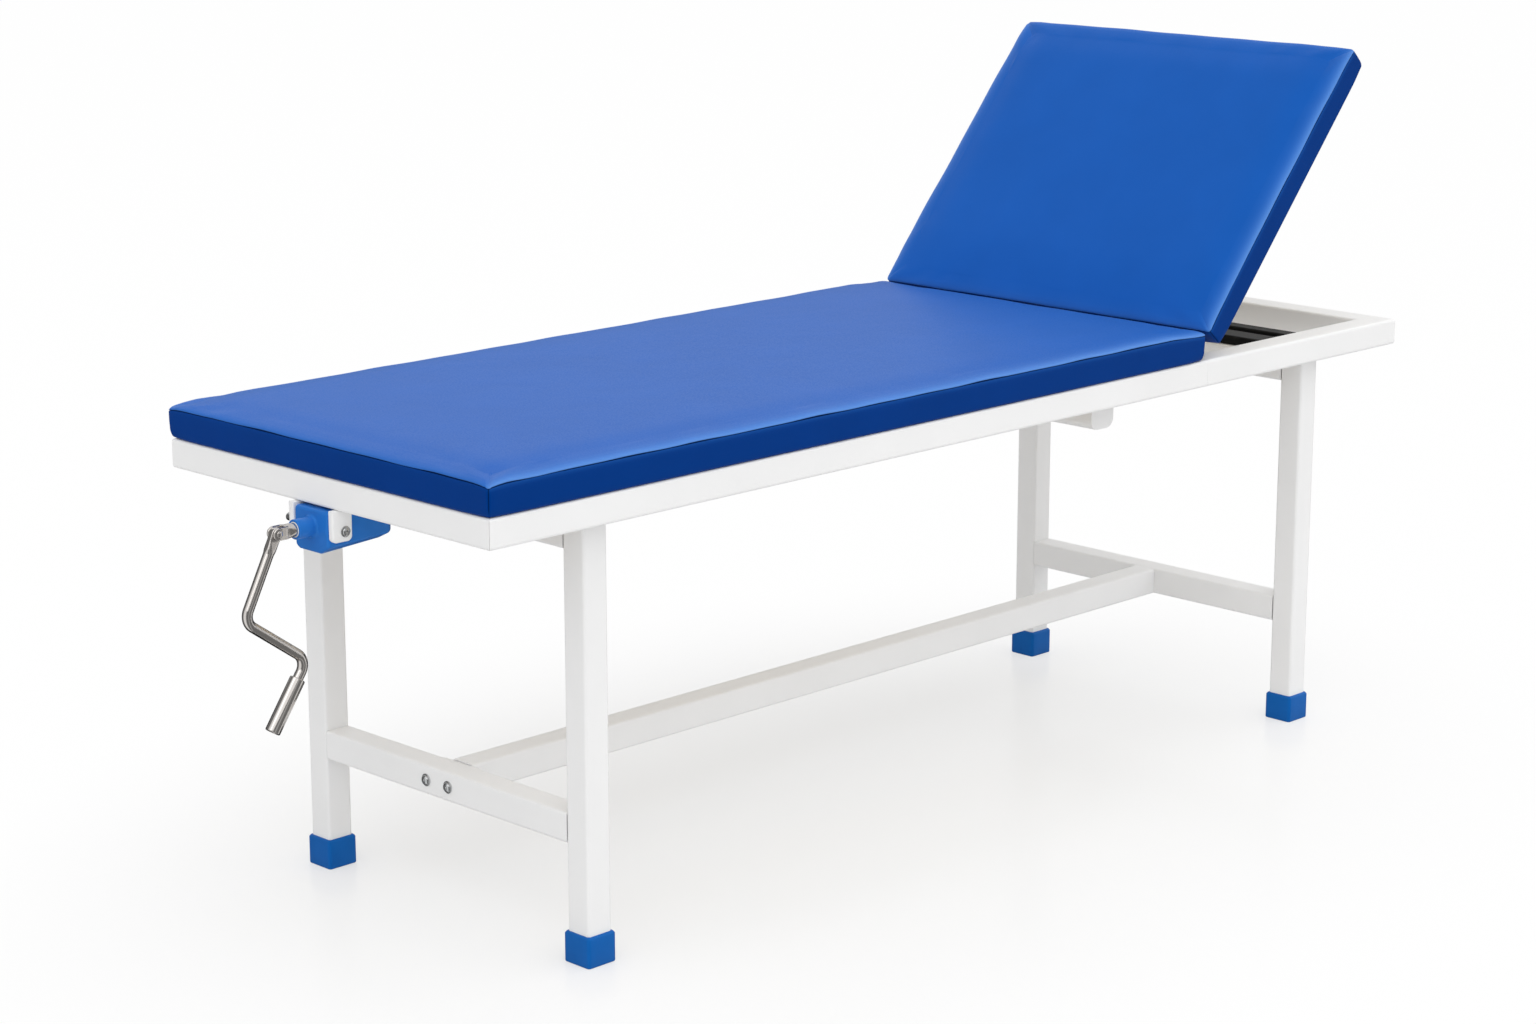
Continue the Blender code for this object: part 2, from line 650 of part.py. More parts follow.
def housing():
    """The moulded crank housing between two ears under the foot rail."""
    y = DRIVE_OFFSET
    low = DRIVE_Z - HOUSING_BELOW
    high = DRIVE_Z + HOUSING_ABOVE
    edge = HOUSING_EDGE
    sections = (
        (-HOUSING_FRONT, edge),
        (-HOUSING_FRONT + edge / 3, edge / 3),
        (-HOUSING_FRONT + edge, 0),
        (HOUSING_TAIL - edge, 0),
        (HOUSING_TAIL, edge),
    )
    rings = []
    for x, inset in sections:
        half = HOUSING_HALF - inset
        flat = HOUSING_HALF - HOUSING_CHAMFER_WIDE
        z0 = low + inset
        z1 = high - inset
        turn = low + HOUSING_CHAMFER_HIGH
        shape = [(half, turn), (half, z1 - edge), (half - edge, z1), (edge - half, z1)]
        shape += [(-half, z1 - edge), (-half, turn), (-flat, z0), (flat, z0)]
        rings.append([Vector((FOOT + x, y + u, z)) for u, z in shape])
    body = add("crank_housing", skin(rings), BLUE_HOUSING)
    at = (FOOT, y, DRIVE_Z)
    end = -HOUSING_FRONT - COLLAR_LENGTH
    collar = ((end, COLLAR_R - 0.001), (end + 0.001, COLLAR_R), (0, COLLAR_R + 0.0015))
    combine(body, add("crank_housing_collar", skin(turned("X", at, collar)), None), "UNION")
    drill(body, "X", at, -0.06, HOUSING_TAIL + 0.02, SHAFT_R + RUN_CLEAR)
    drill(body, "X", at, end - 0.01, end + RING_DEPTH, RING_R + GAP)
    front = end - RING_PROUD
    back = end + RING_DEPTH - GAP
    bore = SHAFT_R + HOLE_CLEAR
    ring = ((front, RING_R - 0.0005), (front + 0.0005, RING_R), (back, RING_R), (back, bore))
    ring += ((front, bore),)
    add("collar_ring", skin(turned("X", at, ring), True), WHITE)
    top = RAIL_BOTTOM - GAP
    r = EAR_RADIUS
    x0 = FOOT + EAR_START
    x1 = x0 + EAR_LENGTH
    base = top - EAR_DROP
    outline = [(x1, top), (x0, top)]
    outline += arc((x0 + r, base + r), r, 180, 270, 5) + arc((x1 - r, base + r), r, 270, 360, 5)
    inner = HOUSING_HALF + EAR_CLEAR
    for side, sign in (("near", -1), ("far", 1)):
        faces = sorted((y + sign * inner, y + sign * (inner + EAR_THICK)))
        ear = add(f"crank_ear_{side}", prism(outline, "Y", faces[0], faces[1]), WHITE)
        centre = (FOOT + PIVOT_X, y, DRIVE_Z - PIVOT_BELOW_AXIS)
        hole = PIVOT_R + HOLE_CLEAR
        drill(ear, "Y", centre, sign * inner * 0.9, sign * (inner + 0.02), hole)
        deep = HOUSING_HALF - PIVOT_DEPTH
        drill(body, "Y", centre, sign * deep, sign * (HOUSING_HALF + 0.01), hole)
        seat_y = inner + EAR_THICK + GAP
        tip = seat_y + (PIVOT_HEAD_HEIGHT if side == "near" else PIVOT_FAR_END)
        screw = [
            (sign * (deep + 0.001), PIVOT_R),
            (sign * seat_y, PIVOT_R),
            (sign * seat_y, PIVOT_HEAD_R),
            (sign * (tip - PIVOT_HEAD_HEIGHT * 0.7), PIVOT_HEAD_R),
            (sign * (tip - PIVOT_HEAD_HEIGHT * 0.2), PIVOT_HEAD_R * 0.7),
            (sign * tip, PIVOT_HEAD_R * 0.4),
        ]
        add(f"pivot_screw_{side}", skin(turned("Y", centre, screw, 24)), ZINC)


def crank():
    """Shaft with its fork, screw, folding Z-shaped arm and turning grip."""
    y = DRIVE_OFFSET
    at = (FOOT, y, DRIVE_Z)
    knuckle = Vector((FOOT - KNUCKLE_OUT, y, DRIVE_Z))
    base = knuckle.x + FORK_LENGTH
    outline = arc((knuckle.x, knuckle.z), FORK_R, 90, 270, 12)
    outline += [(base, DRIVE_Z - FORK_R), (base, DRIVE_Z + FORK_R)]
    shaft = add("crank_shaft", prism(outline, "Y", y - FORK_R, y + FORK_R), STEEL, at)
    rod = ((base - FOOT - SHAFT_R / 2, SHAFT_R), (SHAFT_JOIN, SHAFT_R))
    combine(shaft, add("crank_shaft_rod", skin(turned("X", at, rod)), None), "UNION")
    room = EYE_HALF + GAP
    low = (knuckle.x - 0.02, y - room, DRIVE_Z - 0.02)
    high = (knuckle.x + FORK_R + GAP, y + room, DRIVE_Z + 0.02)
    combine(shaft, add("crank_shaft_slot", box(low, high), None))
    drill(shaft, "Y", knuckle, -0.02, 0.02, FOLD_PIN_R + RUN_CLEAR)
    screw = (
        (SHAFT_JOIN + GAP, SHAFT_R),
        (SCREW_END - 0.002, SHAFT_R),
        (SCREW_END, SHAFT_R - 0.002),
    )
    add("lead_screw", skin(turned("X", at, screw)), ZINC, at)
    out = FORK_R + GAP
    pin = (
        (-out - 0.0016, FOLD_PIN_R),
        (-out - 0.0010, FOLD_PIN_HEAD_R),
        (-out, FOLD_PIN_HEAD_R),
        (-out, FOLD_PIN_R),
        (out, FOLD_PIN_R),
        (out, FOLD_PIN_HEAD_R),
        (out + 0.0010, FOLD_PIN_HEAD_R),
        (out + 0.0016, FOLD_PIN_R),
    )
    add("fold_pin", skin(turned("Y", knuckle, pin, 24)), STEEL)
    crank_arm(knuckle)


def crank_arm(knuckle):
    """The arm hangs from the knuckle in the XZ plane; its grip turns about its last length."""
    y = knuckle.y
    first = -math.pi / 2 - HANG
    second = first + BEND
    third = -math.pi / 2 - math.radians(GRIP_ANGLE)
    ways = [Vector((math.cos(a), math.sin(a))) for a in (first, second, third)]
    k = Vector((knuckle.x, knuckle.z))
    corner_1 = k + ways[0] * CRANK_SHANK
    corner_2 = corner_1 + ways[1] * CRANK_ARM
    rod_end = corner_2 + ways[2] * (GRIP_FROM_BEND + ROD_IN_GRIP)
    path = [(k + ways[0] * ROD_START, first)]
    turns = ((corner_1, first, second, ways[0]), (corner_2, second, third, ways[1]))
    for corner, a0, a1, way in turns:
        sign = 1 if a1 > a0 else -1
        start = corner - way * CRANK_BEND_R * math.tan(abs(a1 - a0) / 2)
        centre = start + sign * CRANK_BEND_R * Vector((-way.y, way.x))
        for i in range(9):
            a = a0 + (a1 - a0) * i / 8
            out = Vector((math.sin(a), -math.cos(a))) * sign
            path.append((centre + out * CRANK_BEND_R, a))
    path.append((rod_end, third))
    rings = []
    sides = 20
    for point, a in path:
        normal = Vector((-math.sin(a), math.cos(a)))
        ring = []
        for i in range(sides):
            t = 2 * math.pi * i / sides
            u = point + normal * ROD_R * math.cos(t)
            ring.append(Vector((u.x, y + ROD_R * math.sin(t), u.y)))
        rings.append(ring)
    arm = add("crank_arm", skin(rings), STEEL, knuckle)
    facing = math.degrees(first)
    neck = 0.0050
    side = Vector((-ways[0].y, ways[0].x)) * neck
    tip = k + ways[0] * (ROD_START + 0.006)
    spread = math.degrees(math.asin(neck / (FORK_R - GAP)))
    eye = arc(k, FORK_R - GAP, facing + spread, facing + 360 - spread, 24)
    eye += [tuple(tip - side), tuple(tip + side)]
    join = add("crank_arm_eye", prism(eye, "Y", y - EYE_HALF, y + EYE_HALF), None, knuckle)
    combine(arm, join, "UNION")
    drill(arm, "Y", knuckle, -0.02, 0.02, FOLD_PIN_R + RUN_CLEAR, knuckle)
    top = corner_2 + ways[2] * GRIP_FROM_BEND
    bore = ROD_R + GRIP_CLEAR
    profile = (
        (0, GRIP_R - 0.0015),
        (0.0015, GRIP_R),
        (GRIP_LENGTH - 0.001, GRIP_R),
        (GRIP_LENGTH, GRIP_R - 0.001),
        (GRIP_LENGTH, bore),
        (0, bore),
    )
    sleeve = skin(turned("X", (0, 0, 0), profile), True)
    turn = Matrix.Rotation(-third, 4, "Y")
    place = Matrix.Translation((top.x, y, top.y)) @ turn
    bmesh.ops.transform(sleeve, matrix=place, verts=sleeve.verts)
    add("crank_grip", sleeve, STEEL, (top.x, y, top.y))


top_frame()
tray()
legs()
seat()
back_pivot = bpy.data.objects.new("backrest_pivot", None)
bpy.context.scene.collection.objects.link(back_pivot)
back_pivot.location = HINGE_AXIS
back_pivot.rotation_euler = (0, -math.radians(BACKREST_ANGLE), 0)
hinges(back_pivot)
backrest(back_pivot)
drive()
housing()
crank()
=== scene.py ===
# %% [markdown]
# # Dressing an examination table
# The solids of this table come in as a fixed frame: tubes, hinges, crank and pads, all in metres.
# This lesson gives them their looks. Each new piece is a surface that numpy works out as a whole
# array, and each finish is built from nodes at a real scale in millimetres.

# %% Load the frame
import json
import math

import bmesh
import bpy
import numpy as np
from mathutils import Matrix, Vector


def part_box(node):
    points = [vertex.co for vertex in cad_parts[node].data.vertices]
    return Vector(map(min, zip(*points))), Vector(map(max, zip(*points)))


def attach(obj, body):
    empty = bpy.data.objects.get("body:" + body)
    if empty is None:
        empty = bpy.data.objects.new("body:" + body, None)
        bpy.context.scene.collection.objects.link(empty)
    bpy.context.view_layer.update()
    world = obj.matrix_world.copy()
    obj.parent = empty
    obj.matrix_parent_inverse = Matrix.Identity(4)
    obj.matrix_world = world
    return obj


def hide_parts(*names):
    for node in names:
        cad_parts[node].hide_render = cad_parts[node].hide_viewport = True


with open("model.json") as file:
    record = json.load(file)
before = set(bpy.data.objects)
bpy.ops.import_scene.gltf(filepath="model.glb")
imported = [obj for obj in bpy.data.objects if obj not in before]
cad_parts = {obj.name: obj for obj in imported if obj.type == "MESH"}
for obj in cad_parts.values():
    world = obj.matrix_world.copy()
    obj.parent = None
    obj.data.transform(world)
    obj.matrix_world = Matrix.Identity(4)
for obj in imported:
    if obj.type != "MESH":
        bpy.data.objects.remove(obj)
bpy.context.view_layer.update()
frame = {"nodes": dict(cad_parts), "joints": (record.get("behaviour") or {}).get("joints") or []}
MM = 0.001
joints = {joint["name"]: joint for joint in frame["joints"]}
scene = bpy.context.scene

# %% [markdown]
# ## Camera
# A long lens from above the foot end's near corner. Its place is counted from two faces of the
# frame, so it stays right if the table's middle moves. The lens follows from the focal length in
# pixels of the picture, because Blender wants millimetres on a sensor.

# %% Camera
PICTURE_WIDTH = 1536
FOCAL_PIXELS = 3331.3
SENSOR = 36.0
FROM_CORNER = Vector((-2.5027, -2.9509, 1.5736))
LOOK_DOWN = 13.6237
LOOK_ASIDE = 45.2285

corner = Vector((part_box("foot_end_rail")[0].x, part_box("seat_rail_near")[0].y, 0))
lens = bpy.data.cameras.new("photo_camera")
lens.sensor_fit = "HORIZONTAL"
lens.sensor_width = SENSOR
lens.lens = FOCAL_PIXELS / PICTURE_WIDTH * SENSOR
lens.clip_end = 200
camera = bpy.data.objects.new("photo_camera", lens)
camera.location = corner + FROM_CORNER
camera.rotation_euler = (math.radians(90 - LOOK_DOWN), 0, -math.radians(LOOK_ASIDE))
scene.collection.objects.link(camera)
scene.camera = camera
print("lens:", round(lens.lens, 2), "mm at", [round(v, 3) for v in camera.location])

# %% [markdown]
# ## Nodes and colours
# A few small helpers serve every finish. Colours are written as sRGB hex, the way a colour picker
# shows them, and turned to linear light once. One function adds any node, with its settings and
# with its inputs filled by a value or by a link.

# %% Helpers for finishes
def linear(colour):
    """Linear RGBA of an sRGB hex colour: a straight part near black, then a power of 2.4."""
    share = np.array([int(colour[i:i + 2], 16) for i in (1, 3, 5)]) / 255
    light = np.where(share <= 0.04045, share / 12.92, ((share + 0.055) / 1.055) ** 2.4)
    return (*light.tolist(), 1.0)


def fill(tree, node, inputs):
    """Fills inputs of a node, each by a value or by a link."""
    for name, value in inputs.items():
        if isinstance(value, bpy.types.NodeSocket):
            tree.links.new(value, node.inputs[name])
        else:
            node.inputs[name].default_value = value


def put(tree, kind, inputs=None, out=None, **settings):
    """Adds a node with its properties and inputs, and gives its named or first live output."""
    node = tree.nodes.new("ShaderNode" + kind)
    for name, value in settings.items():
        setattr(node, name, value)
    fill(tree, node, inputs or {})
    return node.outputs[out] if out else next((one for one in node.outputs if one.enabled), None)


def start_finish(name):
    """A new material with its tree, its Principled shader and the piece's own coordinates."""
    made = bpy.data.materials.new(name)
    made.use_nodes = True
    tree = made.node_tree
    shader = tree.nodes["Principled BSDF"]
    place = put(tree, "TexCoord", out="Object")
    return made, tree, shader, place


# %% [markdown]
# ## Studio
# The floor is pale, and the light is two broad softboxes in a white room: the larger before the
# table, the smaller over its head end, which lights the seat and the open rails behind the raised
# backrest. They are sun lamps with a wide angle, so that the floor is lit evenly to the horizon.
# The camera sees white behind the floor. Mirror-like rays see that white above the table's far
# side. Elsewhere they meet grey flags with three upright white strips between them, as a product
# photographer hangs them, which draw the streaks along polished steel. The floor lets mirror-like
# rays through to the flags. Towards the edges of the picture it hands over to plain white, as a
# studio sweep does. Under the table it keeps the shadow.

# %% Studio
ROOM_LIGHT = 0.76
SOFTBOX_ANGLE = 70
SOFTBOXES = {"key": (0.98, (-0.44, -0.42, 0.79)), "head": (0.60, (0.60, -0.45, 0.66))}
GREY_FLAG = 0.20
DARK_FLAG = 0.03
BEHIND = 45
DARK_SPAN = (75, 55)
WHITE_SPAN = (60, 40)
FLAG_TOP = (0.12, 0.22)
STRIPS = ((178, 40, 18, 1.0), (264, 14, 5, 0.45), (320, 13, 5, 0.85))
FLOOR_SIZE = 60
SWEEP_SHAPE = (0.72, 1.05, 1)
SWEEP_FROM, SWEEP_TO = 0.35, 1.12
LEAST_SWEEP, MOST_SWEEP = 0.42, 0.98


def ray_kinds(tree):
    """Sockets that tell rays seen straight or through a surface, and mirror-like rays."""
    path = put(tree, "LightPath").node.outputs
    rays = {0: path["Is Camera Ray"], 1: path["Is Transmission Ray"]}
    return put(tree, "Math", rays, operation="MAXIMUM"), path["Is Glossy Ray"]


room = bpy.data.worlds.new("white_studio_room")
room.use_nodes = True
scene.world = room
tree = room.node_tree
tree.nodes.clear()
straight, glossy = ray_kinds(tree)
facing = put(tree, "TexCoord", out="Generated")
level_way = put(tree, "VectorMath", {0: facing, 1: (1, 1, 0)}, operation="MULTIPLY")
around = put(tree, "VectorMath", {0: level_way}, operation="NORMALIZE")
height = put(tree, "SeparateXYZ", {"Vector": facing}, out="Z")


def strip(azimuth, edge, full):
    """How far a ray points into an upright strip: 1 within full degrees of it, 0 beyond edge."""
    toward = (math.cos(math.radians(azimuth)), math.sin(math.radians(azimuth)), 0)
    near = put(tree, "VectorMath", {0: around, 1: toward}, operation="DOT_PRODUCT")
    first, last = math.cos(math.radians(edge)), math.cos(math.radians(full))
    return put(tree, "MapRange", {"Value": near, "From Min": first, "From Max": last})


high, low = (
    put(tree, "MapRange", {"Value": height, "From Min": first, "From Max": last})
    for first, last in (FLAG_TOP, FLAG_TOP[::-1])
)
flag = put(tree, "Math", {0: strip(BEHIND, *DARK_SPAN), 1: low}, operation="MULTIPLY")
mirror = put(tree, "Mix", {0: flag, 2: GREY_FLAG, 3: DARK_FLAG})
glow = [put(tree, "Math", {0: strip(BEHIND, *WHITE_SPAN), 1: high}, operation="MULTIPLY")]
for azimuth, edge, full, share in STRIPS:
    lit = strip(azimuth, edge, full)
    glow.append(put(tree, "Math", {0: lit, 1: share}, operation="MULTIPLY"))
for lit in glow:
    mirror = put(tree, "Math", {0: mirror, 1: lit}, operation="MAXIMUM")
level = put(tree, "Mix", {0: glossy, 2: ROOM_LIGHT, 3: mirror})
seen = put(tree, "Mix", {0: straight, 2: level, 3: 1.0})
sky = put(tree, "Background", {"Color": (1, 1, 1, 1), "Strength": seen})
put(tree, "OutputWorld", {"Surface": sky})

for name, (energy, source) in SOFTBOXES.items():
    softbox = bpy.data.lights.new(name + "_softbox", "SUN")
    softbox.energy = energy
    softbox.angle = math.radians(SOFTBOX_ANGLE)
    lamp = bpy.data.objects.new(name + "_softbox", softbox)
    lamp.rotation_mode = "QUATERNION"
    lamp.rotation_quaternion = Vector(source).to_track_quat("Z", "Y")
    scene.collection.objects.link(lamp)

paint, tree, shader, place = start_finish("satin_studio_floor")
fill(tree, shader, {
    "Base Color": linear("#ededed"), "Roughness": 0.20, "Specular IOR Level": 0.25,
})
straight, glossy = ray_kinds(tree)
squeezed = put(tree, "Mapping", {"Vector": place, "Scale": SWEEP_SHAPE})
away = put(tree, "VectorMath", {0: squeezed}, operation="LENGTH")
lift = put(
    tree, "MapRange",
    {"Value": away, "From Min": SWEEP_FROM, "From Max": SWEEP_TO,
     "To Min": LEAST_SWEEP, "To Max": MOST_SWEEP},
    interpolation_type="SMOOTHSTEP",
)
share = put(tree, "Math", {0: straight, 1: lift}, operation="MULTIPLY")
white = put(tree, "Emission", {"Color": (1, 1, 1, 1), "Strength": 1.0})
swept_white = put(tree, "MixShader", {0: share, 1: shader.outputs[0], 2: white})
through = put(tree, "BsdfTransparent")
both = put(tree, "MixShader", {0: glossy, 1: swept_white, 2: through})
fill(tree, tree.nodes["Material Output"], {"Surface": both})
half = FLOOR_SIZE / 2
ground = bpy.data.meshes.new("floor")
ground.from_pydata(
    [(-half, -half, 0), (half, -half, 0), (half, half, 0), (-half, half, 0)], [], [(0, 1, 2, 3)],
)
ground.materials.append(paint)
floor = bpy.data.objects.new("floor", ground)
scene.collection.objects.link(floor)
scene.view_settings.view_transform = "Standard"
print("studio: softboxes", *SOFTBOXES, "in a room of", ROOM_LIGHT)

# %% [markdown]
# ## Painted steel
# The frame is welded square tube under a baked powder coat. The powder melts into a skin with a
# faint orange-peel ripple of about 2 mm, a satin gloss, and a tone that drifts by a per cent or two
# along a tube. The ripple is too fine for a view of the whole table, so it is drawn at 3 mm.

# %% Powder coats
PEEL = 3.0 * MM
DRIFT = 140 * MM


def powder_coat(name, pale, deep, rough, shine):
    """Two close tones drifting over the piece, with an orange-peel bump and uneven gloss."""
    made, tree, shader, place = start_finish(name)
    drift = put(tree, "TexNoise", {"Vector": place, "Scale": 1 / DRIFT, "Detail": 3.0})
    tone = put(tree, "MapRange", {"Value": drift, "From Min": 0.3, "From Max": 0.7})
    colour = put(tree, "Mix", {0: tone, 6: linear(deep), 7: linear(pale)}, data_type="RGBA")
    peel = put(tree, "TexNoise", {"Vector": place, "Scale": 1 / PEEL, "Detail": 1.0})
    gloss = put(tree, "MapRange", {"Value": peel, "To Min": rough - 0.05, "To Max": rough + 0.05})
    ripple = put(tree, "Bump", {"Height": peel, "Strength": 0.25, "Distance": 0.06 * MM})
    fill(tree, shader, {
        "Base Color": colour, "Roughness": gloss, "Normal": ripple, "Specular IOR Level": shine,
    })
    return made


WHITE_COAT = powder_coat("white_powder_coat_on_steel", "#f4f4f4", "#f1f1f1", 0.36, 0.4)
BLACK_COAT = powder_coat("black_powder_coat_on_steel", "#141516", "#0e0f0f", 0.50, 0.1)
print("made", WHITE_COAT.name, "and", BLACK_COAT.name)

# %% [markdown]
# ## Vinyl
# The covers are calendered vinyl on a knitted back, embossed with a fine hide grain. The grain's
# cells are about 1 mm across and are drawn at 2.2 mm so that they show. A cover also carries the
# foam's slow unevenness. The band round the sides is the same cloth with a darker colour, which is
# painted shade on the sides. Two attributes on the mesh steer the colour: one paints a highlight on
# the vinyl beside a seam, most along the near and far sides, and one paints shade into the fold of
# the seam itself.

# %% Vinyls
GRAIN = 2.2 * MM
FOAM_WAVE = 90 * MM
VEIL_TINT = "#7db4ff"
VEIL_ROUGHNESS = 0.35


def vinyl(name, tone, shade, fold, pale, glint, rough, shine, veil):
    """Grain from cells, slow waves from noise, paler where a highlight is painted beside a seam,
    darker where shade is painted in the seams, with a tinted glint and a veil of sheen at low
    angles."""
    made, tree, shader, place = start_finish(name)
    waves = put(tree, "TexNoise", {"Vector": place, "Scale": 1 / FOAM_WAVE, "Detail": 2.0})
    body = put(tree, "Mix", {0: waves, 6: linear(shade), 7: linear(tone)}, data_type="RGBA")
    # Painted highlight: an attribute mixes in the pale colour beside the seams.
    stretch = put(tree, "Attribute", out="Fac", attribute_name="stretch")
    rim_highlight = put(tree, "Mix", {0: stretch, 6: body, 7: linear(pale)}, data_type="RGBA")
    # Painted shade: an attribute mixes in the dark fold colour in the seams.
    crease = put(tree, "Attribute", out="Fac", attribute_name="crease")
    colour = put(tree, "Mix", {0: crease, 6: rim_highlight, 7: linear(fold)}, data_type="RGBA")
    cells = put(
        tree, "TexVoronoi", {"Vector": place, "Scale": 1 / GRAIN, "Smoothness": 0.6},
        feature="SMOOTH_F1",
    )
    gloss = put(
        tree, "MapRange",
        {"Value": cells, "From Max": 0.7, "To Min": rough - 0.04, "To Max": rough + 0.08},
    )
    grain = put(
        tree, "Bump", {"Height": cells, "Strength": 0.22, "Distance": 0.12 * MM}, invert=True,
    )
    slow = put(
        tree, "Bump", {"Height": waves, "Strength": 0.35, "Distance": 2.5 * MM, "Normal": grain},
    )
    fill(tree, shader, {
        "Base Color": colour, "Roughness": gloss, "Normal": slow,
        "Specular IOR Level": shine, "Specular Tint": linear(glint), "Sheen Weight": veil,
        "Sheen Roughness": VEIL_ROUGHNESS, "Sheen Tint": linear(VEIL_TINT),
    })
    return made


TOP_VINYL = vinyl(
    "calendered_vinyl_blue", tone="#175db8", shade="#1357ae", fold="#03204a", pale="#7aaef2",
    glint="#2f6fd0", rough=0.42, shine=0.28, veil=0.2,
)
# The band is the same vinyl with a darker colour: painted shade on the sides of the pads.
SHADED_BAND_VINYL = vinyl(
    "calendered_vinyl_dark_band", tone="#023986", shade="#02347c", fold="#02183a",
    pale="#2a66b8", glint="#123f8a", rough=0.48, shine=0.08, veil=0,
)
print("made", TOP_VINYL.name, "and", SHADED_BAND_VINYL.name)

# %% [markdown]
# ## Moulded plastics
# The feet are polypropylene and the crank's housing is ABS, both moulded in colour. A steel mould
# leaves a faint spark texture of under half a millimetre, drawn here at 0.8 mm, and the colour
# streams a little where the melt flowed.

# %% Plastics
SPARK = 0.8 * MM
FLOW = 25 * MM


def moulded(name, tone, shade, glint, rough):
    """Two close tones in slow streams, with a fine spark-eroded bump and uneven gloss."""
    made, tree, shader, place = start_finish(name)
    flow = put(
        tree, "TexNoise", {"Vector": place, "Scale": 1 / FLOW, "Detail": 2.0, "Distortion": 0.6},
    )
    colour = put(tree, "Mix", {0: flow, 6: linear(shade), 7: linear(tone)}, data_type="RGBA")
    spark = put(tree, "TexNoise", {"Vector": place, "Scale": 1 / SPARK, "Detail": 2.0})
    gloss = put(tree, "MapRange", {"Value": spark, "To Min": rough - 0.06, "To Max": rough + 0.06})
    pits = put(tree, "Bump", {"Height": spark, "Strength": 0.3, "Distance": 0.03 * MM})
    fill(tree, shader, {
        "Base Color": colour, "Roughness": gloss, "Normal": pits, "Specular Tint": linear(glint),
    })
    return made


FOOT_PLASTIC = moulded("moulded_polypropylene_blue", "#1561b0", "#115aa5", "#4a86cc", 0.38)
HOUSING_PLASTIC = moulded("moulded_abs_light_blue", "#2a76cc", "#236cc0", "#7db2ec", 0.30)
RING_PLASTIC = moulded("moulded_nylon_white", "#f0f0ee", "#e9e9e6", "#ffffff", 0.35)
print("made", FOOT_PLASTIC.name, HOUSING_PLASTIC.name, RING_PLASTIC.name)

# %% [markdown]
# ## Bare metals
# The crank is stainless bar polished on a belt and a mop, which leaves a faint haze. Screws and
# hinges are zinc plated, with a cloudy grey bloom from passivation. The nut is cast bronze, turned
# and a little tarnished.

# %% Metals
BLOOM = 9 * MM


def metal(name, bright, dull, rough, haze):
    """A metal whose tone, gloss and fine relief follow one noise."""
    made, tree, shader, place = start_finish(name)
    cloud = put(
        tree, "TexNoise", {"Vector": place, "Scale": 1 / BLOOM, "Detail": 4.0, "Roughness": 0.6},
    )
    colour = put(tree, "Mix", {0: cloud, 6: linear(dull), 7: linear(bright)}, data_type="RGBA")
    gloss = put(tree, "MapRange", {"Value": cloud, "To Min": rough + haze, "To Max": rough})
    lines = put(tree, "Bump", {"Height": cloud, "Strength": haze, "Distance": 0.02 * MM})
    fill(tree, shader, {
        "Base Color": colour, "Roughness": gloss, "Normal": lines, "Metallic": 1.0,
    })
    return made


STAINLESS = metal("polished_stainless_steel", "#d9d5d1", "#ccc7c3", 0.11, 0.04)
ZINC = metal("zinc_plated_steel", "#cfd0d0", "#a9abad", 0.15, 0.09)
BRONZE = metal("turned_cast_bronze", "#c39a5c", "#9a743e", 0.30, 0.15)
print("made", STAINLESS.name, ZINC.name, BRONZE.name)

# %% [markdown]
# ## Plywood
# The pads sit on birch boards. A rotary-cut veneer shows long, soft figures along the board, a few
# centimetres wide, and short dark pores. The grain runs along the table.

# %% Plywood
FIGURE = 45 * MM
PORE = 1.2 * MM
PLYWOOD, tree, shader, place = start_finish("rotary_cut_birch_plywood")
along = put(tree, "Mapping", {"Vector": place, "Scale": (0.08, 1, 1)})
figure = put(
    tree, "TexNoise", {"Vector": along, "Scale": 1 / FIGURE, "Detail": 5.0, "Distortion": 1.2},
)
pores = put(tree, "TexNoise", {"Vector": along, "Scale": 1 / PORE, "Detail": 2.0})
wood = put(tree, "Mix", {0: figure, 6: linear("#d6c5a8"), 7: linear("#e8dcc6")}, data_type="RGBA")
dark = put(tree, "MapRange", {"Value": pores, "From Min": 0.62, "From Max": 0.75})
grain = put(tree, "Mix", {0: dark, 6: wood, 7: linear("#bfa684")}, data_type="RGBA")
fibre = put(tree, "Bump", {"Height": pores, "Strength": 0.3, "Distance": 0.1 * MM})
fill(tree, shader, {"Base Color": grain, "Normal": fibre, "Roughness": 0.62})
print("made", PLYWOOD.name)

# %% [markdown]
# ## Finishes on the frame's own nodes
# A tube whose solid is already right only needs its finish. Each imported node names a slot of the
# record, so one table from slot to finish dresses them all.

# %% Dress the nodes
FINISHES = {
    "white_powder_coat": WHITE_COAT,
    "black_paint": BLACK_COAT,
    "blue_vinyl": SHADED_BAND_VINYL,
    "blue_plastic": FOOT_PLASTIC,
    "light_blue_plastic": HOUSING_PLASTIC,
    "white_plastic": RING_PLASTIC,
    "birch_plywood": PLYWOOD,
    "zinc_plate": ZINC,
    "polished_stainless": STAINLESS,
    "nut_bronze": BRONZE,
}
for node in frame["nodes"].values():
    for place in node.material_slots:
        place.material = FINISHES[place.material.name.split(".")[0]]
print("dressed", len(frame["nodes"]), "nodes")

# %% [markdown]
# ## Making surfaces
# A surface here is a grid of points: rows along a profile, columns round it. Once the grid is an
# array, the faces are only arithmetic on row and column numbers. Smooth shading with a sharp-edge
# angle keeps corners crisp without doubling points.

# %% Helpers for surfaces
SHARP = math.radians(38)
MOST_TRIM = 0.49


def quads(rows, columns, loop_rows=False):
    """Vertex numbers of the quads of a grid whose columns close on themselves."""
    last = rows if loop_rows else rows - 1
    i, j = np.meshgrid(np.arange(last), np.arange(columns), indexing="ij")
    up, side = (i + 1) % rows, (j + 1) % columns
    corners = (i * columns + j, i * columns + side, up * columns + side, up * columns + j)
    return np.stack(corners, -1).reshape(-1, 4).tolist()


